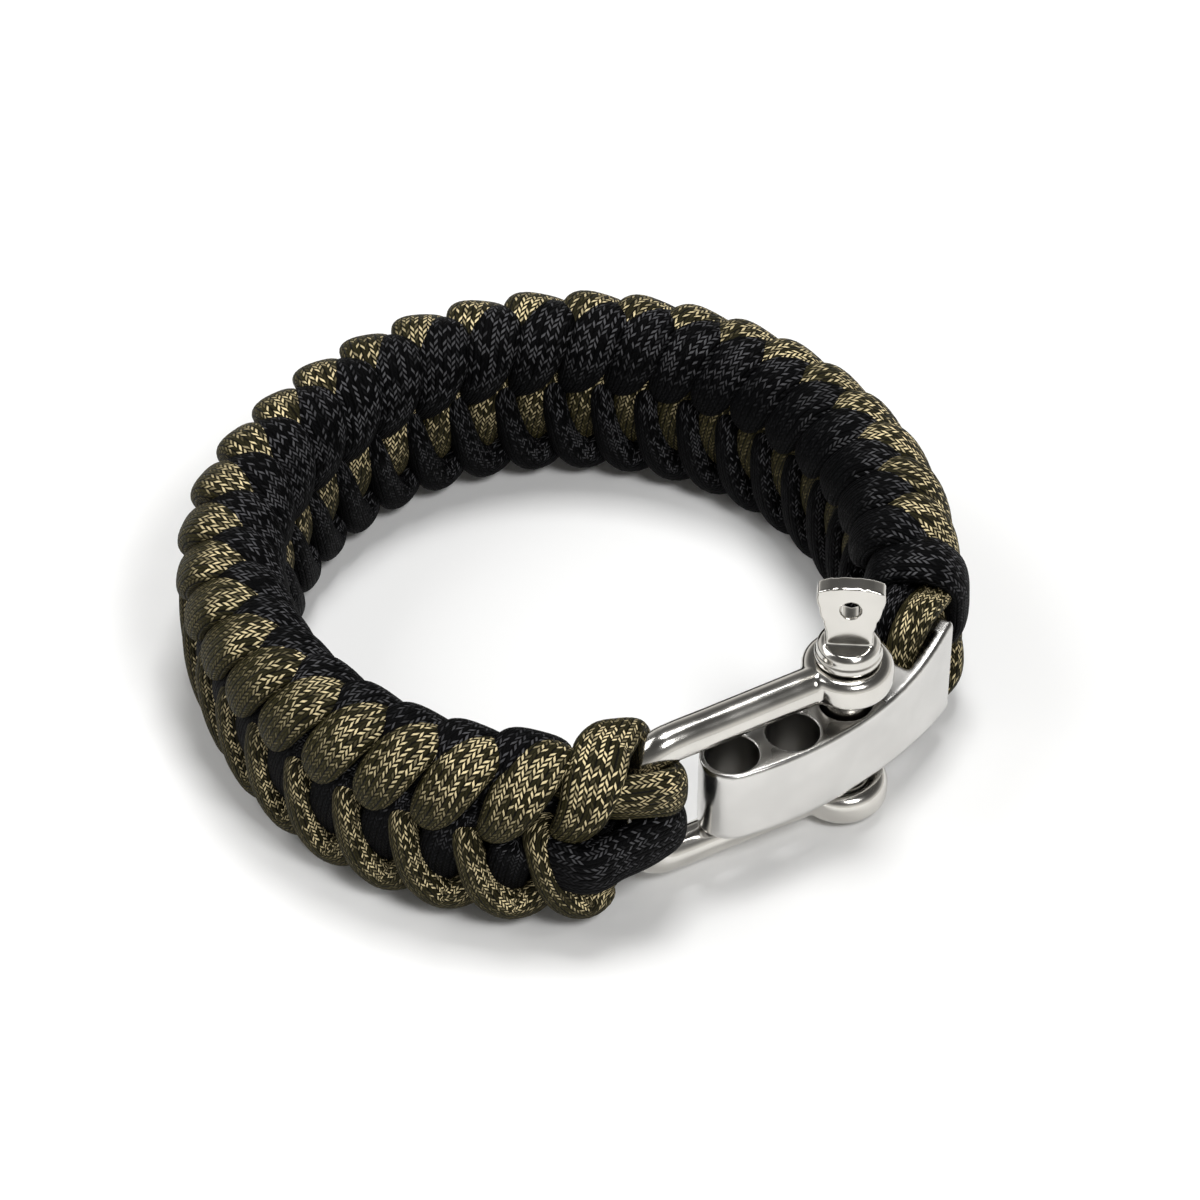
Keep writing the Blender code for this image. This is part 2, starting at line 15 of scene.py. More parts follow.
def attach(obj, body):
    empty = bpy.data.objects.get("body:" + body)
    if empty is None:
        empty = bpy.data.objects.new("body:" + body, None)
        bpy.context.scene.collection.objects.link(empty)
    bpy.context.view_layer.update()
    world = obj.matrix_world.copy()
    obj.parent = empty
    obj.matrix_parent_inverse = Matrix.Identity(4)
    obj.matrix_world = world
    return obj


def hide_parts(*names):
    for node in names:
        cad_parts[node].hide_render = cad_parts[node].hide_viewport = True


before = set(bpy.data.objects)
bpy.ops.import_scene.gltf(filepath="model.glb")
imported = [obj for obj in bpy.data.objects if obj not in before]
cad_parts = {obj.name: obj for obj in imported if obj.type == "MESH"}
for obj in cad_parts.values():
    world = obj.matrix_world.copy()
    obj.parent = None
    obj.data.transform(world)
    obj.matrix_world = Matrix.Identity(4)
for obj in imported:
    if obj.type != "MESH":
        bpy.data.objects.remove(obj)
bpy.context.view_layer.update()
LOG = logging.getLogger("bracelet")
BODY = "root"
BAND_NODE = "woven_band"
BAND_SLOT = "woven_cord"
MM = 0.001

Colour = tuple[float, float, float]
Measure = float | np.ndarray
Socket = bpy.types.NodeSocket
Piece = bpy.types.Object


class CordColour(Enum):
    """The colour that a cord is woven in."""

    OLIVE = "olive"
    BLACK = "black"


@dataclass(frozen=True)
class CordFinish:
    """Colours and surface of one kind of braided cord."""

    slot: str
    ground: Colour
    yarn: Colour
    # Fleck colour: the cord's own colour on chosen stitches everywhere, and a painted glint where it shows in
    # full toward the glint directions.
    fleck_and_glint: Colour
    fleck_share: float
    # Share of the fleck colour kept on faces away from the glint directions, where no painted glint shows.
    fleck_share_away_from_glints: float
    gloss: float
    roughness: float = 0.55


@dataclass(frozen=True)
class SteelFinish:
    """Colour and surface of one polished steel piece."""

    slot: str
    colour: Colour
    roughness: float
    scratch_depth: float
    # Strength of the painted shade where the mesh is marked.
    painted_shade_strength: float = 0.0


CORD_FINISHES = {
    CordColour.OLIVE: CordFinish(
        slot="olive_cord", ground=(0.003, 0.0025, 0.001), yarn=(0.029, 0.025, 0.0075),
        fleck_and_glint=(0.86, 0.72, 0.42), fleck_share=0.74, fleck_share_away_from_glints=0.09, gloss=0.08,
    ),
    CordColour.BLACK: CordFinish(
        slot="black_cord", ground=(0.0004, 0.0004, 0.0005), yarn=(0.0022, 0.0023, 0.0028),
        fleck_and_glint=(0.085, 0.085, 0.09), fleck_share=0.70, fleck_share_away_from_glints=0.08, gloss=0.04,
    ),
}
SHACKLE_FINISH = SteelFinish("shackle_steel", (0.70, 0.68, 0.64), roughness=0.12, scratch_depth=0.2)
BAR_FINISH = SteelFinish("bar_steel", (0.68, 0.67, 0.65), roughness=0.16, scratch_depth=0.3, painted_shade_strength=0.85)
# Colour of the painted shade in the bar's holes and on its flat top and bottom.
PAINTED_SHADE_STEEL = (0.055, 0.050, 0.042)

# Directions of the faces on which the cords' flecks are painted in full as painted glints, and their yarn
# painted darker as painted shade; a shorter one counts for less.
PAINTED_GLINT_SIDES = ((0.34, -0.50, 0.80), (0.0, 0.80, 0.0))


class Graph:
    """A short way to add and link the nodes of one tree."""

    def __init__(self, tree: bpy.types.NodeTree) -> None:
        """Keep the tree that nodes are added to."""
        self.tree = tree

    def feed(self, node: bpy.types.Node, inputs: dict[str | int, object]) -> None:
        """Link or set a node's inputs.

        Args:
            node: The node.
            inputs: A socket or a plain value for each input, by name or number.
        """
        for key, value in inputs.items():
            if isinstance(value, Socket):
                self.tree.links.new(value, node.inputs[key])
            else:
                node.inputs[key].default_value = value

    def add(
        self, kind: str, inputs: dict[str | int, object] | None = None, **settings: object
    ) -> bpy.types.Node:
        """Add a node.

        Args:
            kind: The node's type name, without its prefix "ShaderNode" if it has that.
            inputs: A socket or a plain value for each input, by name or number.
            **settings: Properties of the node, by name.

        Returns:
            The new node.
        """
        node = self.tree.nodes.new(kind if kind.startswith("Node") else "ShaderNode" + kind)
        for key, value in settings.items():
            setattr(node, key, value)
        self.feed(node, inputs or {})
        return node

    def math(self, operation: str, *values: object) -> Socket:
        """Add a Math node with these inputs and return its output."""
        return self.add("Math", dict(enumerate(values)), operation=operation).outputs[0]

    def mix(self, share: object, *colours: object) -> Socket:
        """Mix two colours by a share and return the result."""
        first, second = (value if isinstance(value, Socket) else (*value, 1.0) for value in colours)
        return self.add("Mix", {"Factor": share, "A": first, "B": second}, data_type="RGBA").outputs["Result"]

    def ramp(self, value: object, low: float, high: float, start: float = 0.0, end: float = 1.0) -> Socket:
        """Map a value smoothly from low..high to start..end and return the result."""
        limits = {"Value": value, "From Min": low, "From Max": high, "To Min": start, "To Max": end}
        return self.add("MapRange", limits, interpolation_type="SMOOTHSTEP").outputs["Result"]

    def hump(self, value: Socket, power: float) -> Socket:
        """Return 1 where the value is a half, down to 0 at 0 and 1, more squarely for a higher power."""
        offset = self.math("ABSOLUTE", self.math("MULTIPLY_ADD", value, 2.0, -1.0))
        return self.math("SUBTRACT", 1.0, self.math("POWER", offset, power))

    def bump(self, shader: bpy.types.Node, height: Socket, strength: float, distance: float) -> None:
        """Raise a shader's surface by a height, up to a distance in metres."""
        node = self.add("Bump", {"Strength": strength, "Distance": distance, "Height": height})
        self.feed(shader, {"Normal": node.outputs["Normal"]})


def new_group(
    name: str, numbers: Sequence[str], results: Sequence[str]
) -> tuple[Graph, bpy.types.Node, bpy.types.Node]:
    """Start a shader node group that takes a vector.

    Args:
        name: The group's name.
        numbers: Names of its further inputs.
        results: Names of its outputs.

    Returns:
        A graph over the group's tree, its input node and its output node.
    """
    tree = bpy.data.node_groups.new(name, "ShaderNodeTree")
    tree.interface.new_socket(name="Vector", in_out="INPUT", socket_type="NodeSocketVector")
    for labels, side in ((numbers, "INPUT"), (results, "OUTPUT")):
        for label in labels:
            tree.interface.new_socket(name=label, in_out=side, socket_type="NodeSocketFloat")
    graph = Graph(tree)
    return graph, graph.add("NodeGroupInput"), graph.add("NodeGroupOutput")


def braid_group() -> bpy.types.NodeTree:
    """Build the group that draws a cord's braid from its UV map.

    Returns:
        A tree whose outputs are the height of the stitches, the mask of each stitch's crown and a tone
        of each stitch.
    """
    names = ("Height", "Crown", "Tone")
    graph, source, target = new_group("braid_stitches", ("Columns", "Row Length", "Slant"), names)
    place = graph.add("SeparateXYZ", {0: source.outputs["Vector"]})
    around = graph.math("MULTIPLY", place.outputs["Y"], source.outputs["Columns"])
    column = graph.math("FLOOR", around)
    across = graph.math("FRACT", around)
    odd = graph.math("MODULO", column, 2.0)
    side = graph.math("MULTIPLY_ADD", odd, -2.0, 1.0)
    lean = graph.math("MULTIPLY", graph.math("SUBTRACT", across, 0.5), source.outputs["Slant"])
    rows = graph.math("DIVIDE", place.outputs["X"], source.outputs["Row Length"])
    half_row = graph.math("MULTIPLY", odd, 0.5)
    shifted = graph.math("ADD", graph.math("MULTIPLY_ADD", lean, side, rows), half_row)
    row = graph.math("FLOOR", shifted)
    along = graph.math("FRACT", shifted)
    across_hump = graph.hump(across, 3.0)
    along_hump = graph.math("SQRT", graph.math("MAXIMUM", graph.hump(along, 2.0), 0.0))
    stitch = graph.math("MULTIPLY", along_hump, graph.math("MAXIMUM", across_hump, 0.0))
    rib = graph.hump(graph.math("FRACT", graph.math("MULTIPLY", around, 0.5)), 4.0)
    relief = graph.math("MULTIPLY_ADD", stitch, 0.6, 0.4)
    height = graph.math("MULTIPLY", relief, graph.math("MAXIMUM", rib, 0.0))
    ridge = graph.ramp(graph.hump(along, 1.0), 0.40, 0.62)
    crown = graph.math("MULTIPLY", ridge, graph.ramp(across_hump, 0.30, 0.65))
    cell = graph.add("CombineXYZ", {0: column, 1: row})
    tone = graph.add("TexWhiteNoise", {"Vector": cell.outputs[0]}, noise_dimensions="2D")
    graph.feed(target, dict(zip(names, (height, crown, tone.outputs["Value"]))))
    return graph.tree


def wear_group() -> bpy.types.NodeTree:
    """Build the group that gives uneven tone and fine scratches to any surface.

    Returns:
        A tree whose outputs are a broad tone from 0 to 1 and the height of fine scratches.
    """
    scratch_stretch, scratch_scale = (9.0, 1.2, 3.0), 6.0
    graph, source, target = new_group("handling_wear", ("Scale",), ("Tone", "Scratch"))
    vector, scale = source.outputs["Vector"], source.outputs["Scale"]
    broad = graph.add("TexNoise", {"Vector": vector, "Scale": scale})
    long = graph.add("VectorMath", {0: vector, 1: scratch_stretch}, operation="MULTIPLY").outputs[0]
    fine = graph.add("TexNoise", {"Vector": long, "Scale": graph.math("MULTIPLY", scale, scratch_scale)})
    tone = graph.ramp(broad.outputs["Fac"], 0.3, 0.7)
    graph.feed(target, {"Tone": tone, "Scratch": fine.outputs["Fac"]})
    return graph.tree


@dataclass
class Finishes:
    """Builds each material once, from the shared groups, and dresses pieces in them."""

    columns: float = 32.0
    row_length: float = 0.52
    slant: float = 0.80
    stitch_depth: float = 0.12 * MM
    scratch_height: float = 0.01 * MM
    cord_wear: float = 160.0
    steel_wear: float = 220.0
    # Facing range over which the painted glints and the yarn's painted shade fade in.
    painted_light_low: float = 0.30
    painted_light_high: float = 0.82
    # How dark the yarn is painted, as painted shade, on faces toward the glint directions.
    painted_shade_factor: float = 0.62
    worn_shade: float = 0.9
    groups: dict[Callable, bpy.types.NodeTree] = field(default_factory=dict)
    made: dict[str, bpy.types.Material] = field(default_factory=dict)

    def group(self, graph: Graph, builder: Callable, inputs: dict[str, object]) -> bpy.types.Node:
        """Place a shared group in a material's tree, and build it the first time.

        Args:
            graph: The material's graph.
            builder: The function that builds the group.
            inputs: A socket or a value for each of the group's inputs.

        Returns:
            The group node.
        """
        if builder not in self.groups:
            self.groups[builder] = builder()
        return graph.add("Group", inputs, node_tree=self.groups[builder])

    def draw_cord(self, finish: CordFinish, graph: Graph, shader: bpy.types.Node) -> None:
        """Draw a braided cord, which reads the piece's UV map, with painted glints and painted shade on the
        faces toward the glint directions.

        Args:
            finish: The cord's colours and surface.
            graph: The material's graph.
            shader: Its Principled shader.
        """
        place = graph.add("TexCoord").outputs
        sizes = {"Columns": self.columns, "Row Length": self.row_length, "Slant": self.slant}
        braid = self.group(graph, braid_group, {"Vector": place["UV"], **sizes}).outputs
        wear = self.group(graph, wear_group, {"Vector": place["Object"], "Scale": self.cord_wear}).outputs
        normal = graph.add("NewGeometry").outputs["Normal"]
        sides = [graph.add("VectorMath", {0: normal, 1: side}, operation="DOT_PRODUCT").outputs["Value"]
                 for side in PAINTED_GLINT_SIDES]
        facing = graph.math("MAXIMUM", *sides)
        # Mask of painted light: high on faces toward the glint directions, low on faces away from them.
        painted_light_mask = graph.ramp(facing, self.painted_light_low, self.painted_light_high, finish.fleck_share_away_from_glints, 1.0)
        # Painted shade: the yarn is painted darker on faces toward the glint directions.
        painted_shade_yarn = tuple(channel * self.painted_shade_factor for channel in finish.yarn)
        yarn = graph.mix(painted_light_mask, finish.yarn, painted_shade_yarn)
        body = graph.mix(graph.ramp(braid["Height"], 0.25, 0.85), finish.ground, yarn)
        chosen = graph.ramp(braid["Tone"], 1.0 - finish.fleck_share, 1.0 - finish.fleck_share * 0.4)
        worn = graph.math("MULTIPLY_ADD", wear["Tone"], 0.35, 0.65)
        share = graph.math("MULTIPLY", graph.math("MULTIPLY", chosen, braid["Crown"]), worn)
        # Painted glints: the flecks fade to the lower share on faces turned away from the glint directions.
        share = graph.math("MULTIPLY", share, painted_light_mask)
        graph.feed(shader, {
            "Base Color": graph.mix(share, body, finish.fleck_and_glint),
            "Roughness": graph.math("MULTIPLY_ADD", braid["Tone"], 0.2, finish.roughness),
            "Specular IOR Level": finish.gloss,
        })
        graph.bump(shader, braid["Height"], 1.0, self.stitch_depth)

    def draw_steel(self, finish: SteelFinish, graph: Graph, shader: bpy.types.Node) -> None:
        """Draw polished steel, with painted shade and a rougher surface where the mesh's own mark says so.

        Args:
            finish: The steel's colour and surface.
            graph: The material's graph.
            shader: Its Principled shader.
        """
        place = graph.add("TexCoord").outputs["Object"]
        wear = self.group(graph, wear_group, {"Vector": place, "Scale": self.steel_wear}).outputs
        worn = tuple(channel * self.worn_shade for channel in finish.colour)
        colour = graph.mix(wear["Tone"], worn, finish.colour)
        rough = graph.math("MULTIPLY_ADD", wear["Tone"], 0.07, finish.roughness)
        if finish.painted_shade_strength:
            # Painted shade: darker colour and a rougher surface where the mesh is marked.
            painted_shade = graph.add("Attribute", attribute_name="painted_shade").outputs["Fac"]
            colour = graph.mix(graph.math("MULTIPLY", painted_shade, finish.painted_shade_strength), colour, PAINTED_SHADE_STEEL)
            rough = graph.math("MULTIPLY_ADD", painted_shade, 0.16, rough)
        graph.feed(shader, {"Base Color": colour, "Roughness": rough, "Metallic": 1.0})
        graph.bump(shader, wear["Scratch"], finish.scratch_depth, self.scratch_height)

    def material(self, finish: CordFinish | SteelFinish) -> bpy.types.Material:
        """Look up the material of a finish, and make it the first time.

        Args:
            finish: The finish.

        Returns:
            The material.
        """
        if finish.slot not in self.made:
            material = bpy.data.materials.new(finish.slot)
            material.use_nodes = True
            draw = self.draw_cord if isinstance(finish, CordFinish) else self.draw_steel
            draw(finish, Graph(material.node_tree), material.node_tree.nodes["Principled BSDF"])
            self.made[finish.slot] = material
        return self.made[finish.slot]

    def dress(self, piece: Piece, finish: CordFinish | SteelFinish, node: str, slot: str) -> Piece:
        """Give a piece its material, and fit it to the part.

        Args:
            piece: The piece.
            finish: Its finish.
            node: The node whose place it takes.
            slot: Not used.

        Returns:
            The same piece.
        """
        piece.data.materials.append(self.material(finish))
        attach(piece, BODY)
        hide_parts(node)
        return piece


def new_thing(name: str, data: bpy.types.ID) -> Piece:
    """Make an object.

    Args:
        name: The object's name.
        data: Its mesh, light or camera.

    Returns:
        The new object, linked to the scene.
    """
    thing = bpy.data.objects.new(name, data)
    bpy.context.scene.collection.objects.link(thing)
    return thing


@dataclass(frozen=True)
class RingLine:
    """The middle line that the band follows, round or slightly oval, with its two ends."""

    radius: float = 34.4 * MM
    oval: float = 0.018
    middle_height: float = 9.8 * MM
    slot_end: float = math.radians(-4.5)
    bow_end: float = math.radians(-86.0)
    forward: float = 0.0
    shifts: tuple[tuple[float, float, float], ...] = ((0.0, 0.0, 0.0), (360.0, 0.0, 0.0))

    @property
    def sweep(self) -> float:
        """Return the angle that the woven band covers."""
        return (self.bow_end - self.slot_end) % (2 * math.pi)

    def place(self, angle: Measure, up: Measure, out: Measure) -> np.ndarray:
        """Return places beside the middle line.

        Args:
            angle: Angle round the ring of each place, in radians.
            up: Height of each above the band's middle, in metres.
            out: Distance of each outside the middle line, in metres.

        Returns:
            One row of x, y, z for each place.
        """
        angle, up, out = np.broadcast_arrays(angle, up, out)
        degrees, outward, lean = np.array(self.shifts).T
        turn = np.degrees(angle) % 360.0
        shift = np.interp(turn, degrees, outward) + np.interp(turn, degrees, lean) * up / self.middle_height
        reach = self.radius * (1 + self.oval * np.cos(2 * angle)) + out + shift * MM
        plan_y = reach * np.sin(angle) + self.forward
        return np.stack([reach * np.cos(angle), plan_y, self.middle_height + up], axis=-1)

    def outward(self, angle: Measure, up: Measure, out: Measure) -> np.ndarray:
        """Work out directions that point partly up and partly out.

        Args:
            angle: Angle round the ring of each, in radians.
            up: Share of each that points up.
            out: Share of each that points away from the ring's axis.

        Returns:
            One unit vector for each angle.
        """
        angle, up, out = np.broadcast_arrays(angle, up, out)
        whole = np.stack([out * np.cos(angle), out * np.sin(angle), up], axis=-1)
        return whole / np.linalg.norm(whole, axis=-1, keepdims=True)


# How the woven band strays from its even ring. Columns: angle in degrees, shift outward in millimetres,
# and shift of the rim outward beyond that, with the foot as far inward.
HAND_SHIFTS = (
    (0.0, 0.2, 0.0),
    (30.0, 0.0, 0.0),
    (145.0, 0.0, 0.0),
    (165.0, 0.4, 0.5),
    (182.0, 0.4, 0.7),
    (198.0, -0.1, 0.9),
    (212.0, -0.1, 0.5),
    (228.0, 0.0, 0.0),
    (258.0, -0.2, 0.0),
    (270.0, -0.8, 0.0),
    (278.0, -1.0, 0.0),
    (290.0, -0.5, 0.0),
    (350.0, 0.2, 0.0),
    (360.0, 0.2, 0.0),
)


def smooth_route(points: np.ndarray, steps: int, columns: int = 3) -> np.ndarray:
    """Run a smooth curve through points, column by column.

    Args:
        points: One row for each point; the first columns are its place.
        steps: How many steps each stretch between two points gets.
        columns: How many of the first columns set the spacing.

    Returns:
        The denser rows, from the first point to the last.
    """
    points = np.asarray(points, dtype=float)
    gaps = np.maximum(np.linalg.norm(np.diff(points[:, :columns], axis=0), axis=1), 1e-9)
    slopes = np.diff(points, axis=0) / gaps[:, None]
    inner = (slopes[:-1] * gaps[1:, None] + slopes[1:] * gaps[:-1, None]) / (gaps[1:] + gaps[:-1])[:, None]
    tangents = np.vstack([slopes[:1], inner, slopes[-1:]])
    share = np.linspace(0.0, 1.0, steps, endpoint=False)[:, None]
    bend = share * share * (3 - 2 * share)
    pieces = []
    for k, gap in enumerate(gaps):
        leave = tangents[k] * (share * (1 - share) ** 2 * gap)
        arrive = tangents[k + 1] * (-share * share * (1 - share) * gap)
        pieces.append(points[k] * (1 - bend) + points[k + 1] * bend + leave + arrive)
    return np.vstack(pieces + [points[-1:]])


def lengths_along(rows: np.ndarray) -> np.ndarray:
    """Return the length along a route at each of its rows, whose first three columns are the place."""
    return np.concatenate([[0.0], np.cumsum(np.linalg.norm(np.diff(rows[:, :3], axis=0), axis=1))])


def even_route(rows: np.ndarray, step: float) -> np.ndarray:
    """Space the rows of a route evenly along its length.

    Args:
        rows: Rows whose first three columns are the place.
        step: The wanted distance between rows, in metres.

    Returns:
        Rows at about that distance.
    """
    lengths = lengths_along(rows)
    count = max(int(round(lengths[-1] / step)), 2)
    wanted = np.linspace(0.0, lengths[-1], count + 1)
    return np.stack([np.interp(wanted, lengths, column) for column in rows.T], axis=1)


@dataclass
class FlatCord:
    """Sweeps the flattened round section of a cord along a route, with a UV map for its braid."""

    step: float = 0.42 * MM
    sides: int = 28
    squareness: float = 2.35
    smoothing: int = 5
    cap_bends: tuple[float, ...] = (0.35, 0.7, 0.95)

    def frames(self, rows: np.ndarray) -> tuple[np.ndarray, np.ndarray, np.ndarray]:
        """Work out the directions along, across and out of the cord.

        Args:
            rows: Place, outward direction, width and thickness of each station.

        Returns:
            The three directions at each station.
        """
        tangent = np.gradient(rows[:, :3], axis=0)
        tangent /= np.linalg.norm(tangent, axis=1, keepdims=True)
        kernel = np.ones(2 * self.smoothing + 1) / (2 * self.smoothing + 1)
        padded = np.pad(rows[:, 3:6], ((self.smoothing, self.smoothing), (0, 0)), mode="edge")
        normal = np.stack([np.convolve(column, kernel, mode="valid") for column in padded.T], axis=1)
        normal -= tangent * (normal * tangent).sum(axis=1, keepdims=True)
        normal /= np.linalg.norm(normal, axis=1, keepdims=True)
        return tangent, np.cross(tangent, normal), normal

    def build(self, name: str, route: np.ndarray, start: float = 0.0) -> Piece:
        """Make the cord's mesh.

        Args:
            name: The piece's name.
            route: Rows of place, outward direction, width and thickness, in metres.
            start: Length at which the braid's pattern starts, in metres.

        Returns:
            The new object, linked to the scene.
        """
        rows = even_route(route, self.step)
        tangent, across, normal = self.frames(rows)
        turn = 2 * math.pi * (np.arange(self.sides) / self.sides) - math.pi / 2
        wide, tall = (np.sign(wave) * np.abs(wave) ** (2.0 / self.squareness)
                      for wave in (np.cos(turn), np.sin(turn)))
        half = rows[:, 6:8] / 2
        skin = (
            rows[:, None, :3]
            + across[:, None, :] * (half[:, 0:1] * wide[None, :])[:, :, None]
            + normal[:, None, :] * (half[:, 1:2] * tall[None, :])[:, :, None]
        )
        caps = []
        for index, sign in ((0, -1.0), (-1, 1.0)):
            for bend in self.cap_bends:
                middle = rows[index, :3] + tangent[index] * sign * bend * half[index, 1]
                caps.append(middle + (skin[index] - rows[index, :3]) * math.sqrt(1 - bend * bend))
        count = len(self.cap_bends)
        rings = np.concatenate([caps[:count][::-1], skin, caps[count:]])
        lengths = lengths_along(rows)
        pad = np.array(self.cap_bends) * half[0, 1]
        lengths = np.concatenate([lengths[0] - pad[::-1], lengths, lengths[-1] + pad])
        return self.mesh(name, rings, lengths + start)

    def mesh(self, name: str, rings: np.ndarray, lengths: np.ndarray) -> Piece:
        """Turn rings of points into a closed mesh object with the braid's UV map.

        Args:
            name: The piece's name.
            rings: Stations by sides by three.
            lengths: Length along the cord of each station, in metres.

        Returns:
            The new object, linked to the scene.
        """
        count, sides = rings.shape[:2]
        ends = np.stack([rings[0].mean(axis=0), rings[-1].mean(axis=0)])
        points = np.vstack([rings.reshape(-1, 3), ends])
        closed = np.concatenate([rings, rings[:, :1]], axis=1)
        around = np.cumsum(np.linalg.norm(np.diff(closed, axis=1), axis=2), axis=1)
        around = np.hstack([np.zeros((count, 1)), around / around[:, -1:]])
        faces, layout = [], []
        for k in range(count - 1):
            for j in range(sides):
                a, b = k * sides + j, k * sides + (j + 1) % sides
                faces.append((a, a + sides, b + sides, b))
                layout.extend(((k, j), (k + 1, j), (k + 1, j + 1), (k, j + 1)))
        first, last = count * sides, count * sides + 1
        base = (count - 1) * sides
        for j in range(sides):
            faces.append((j, (j + 1) % sides, first))
            layout.extend(((0, j), (0, j + 1), (0, j)))
            faces.append((base + (j + 1) % sides, base + j, last))
            layout.extend(((count - 1, j + 1), (count - 1, j), (count - 1, j)))
        mesh = bpy.data.meshes.new(name)
        mesh.from_pydata(points.tolist(), [], faces)
        station, side = np.array(layout).T
        uv = np.stack([lengths[station] / MM, around[station, side]], axis=1)
        mesh.uv_layers.new(name="braid").data.foreach_set("uv", uv.astype(np.float32).ravel())
        mesh.shade_smooth()
        mesh.update()
        return new_thing(name, mesh)


# One cord's way through one repeat of the weave. Columns: along as a share of the repeat, up as a share
# of half the free height, out as a share of half the free thickness, width and thickness in millimetres.
WEAVE_ROWS = (
    (0.60, 0.68, -0.62, 3.8, 2.6),
    (0.54, 0.90, -0.54, 4.2, 2.8),
    (0.48, 1.08, -0.34, 4.8, 3.0),
    (0.41, 1.18, -0.10, 5.4, 3.1),
    (0.32, 1.22, 0.16, 5.9, 3.1),
    (0.21, 1.18, 0.46, 6.1, 3.0),
    (0.09, 1.05, 0.74, 5.9, 2.9),
    (-0.04, 0.86, 0.95, 5.4, 2.8),
    (-0.17, 0.64, 1.02, 4.6, 2.7),
    (-0.30, 0.44, 0.90, 3.5, 2.5),
    (-0.41, 0.30, 0.64, 2.8, 2.2),
    (-0.58, 0.40, 0.46, 2.8, 2.2),
    (-0.70, 0.36, 0.76, 2.8, 2.8),
    (-0.66, 0.12, 0.98, 2.8, 3.4),
    (-0.59, -0.12, 1.03, 3.0, 3.6),
    (-0.48, -0.42, 1.05, 3.3, 3.6),
    (-0.28, -0.70, 1.02, 3.7, 3.4),
    (-0.04, -0.85, 0.94, 4.0, 3.2),
    (0.18, -0.80, 0.88, 3.9, 3.0),
    (0.36, -0.62, 0.72, 3.4, 2.8),
    (0.50, -0.54, 0.32, 3.2, 2.6),
    (0.54, -0.62, -0.20, 3.6, 2.6),
    (0.46, -0.54, -0.62, 4.2, 2.6),
    (0.39, -0.22, -0.86, 4.6, 2.6),
    (0.29, 0.12, -0.90, 4.8, 2.6),
    (0.17, 0.38, -0.80, 4.6, 2.6),
    (-0.02, 0.56, -0.64, 4.0, 2.6),
    (-0.22, 0.62, -0.58, 3.7, 2.5),
)

# How the olive cord comes from the shackle to its first crown, in the same columns.
LEAD_IN_ROWS = (
    (0.84, 0.52, -1.28, 4.6, 2.8),
    (0.74, 0.90, -1.22, 4.8, 2.8),
    (0.60, 1.16, -0.72, 5.4, 3.0),
    (0.42, 1.24, -0.04, 5.8, 3.0),
    (0.20, 1.14, 0.56, 6.0, 3.0),
)

# Where the repeats lie round the ring. Columns: repeats from the slot end, angle in degrees.
REPEAT_PLACES = (
    (-2.6, -15.0),
    (0.22, 11.7),
    (8.22, 86.1),
    (17.22, 178.6),
    (21.8, 220.0),
    (24.8, 249.0),
    (25.94, 260.9),
    (26.94, 272.0),
    (27.45, 275.4),
    (28.0, 286.0),
)


@dataclass(frozen=True)
class CordSpan:
    """Which repeats and rows of the weave a cord runs through."""

    first_repeat: int
    first_row: int
    last_repeat: int
    last_row: int


CORD_SPANS = {CordColour.OLIVE: CordSpan(27, 6, -1, 19), CordColour.BLACK: CordSpan(29, 0, 2, 25)}


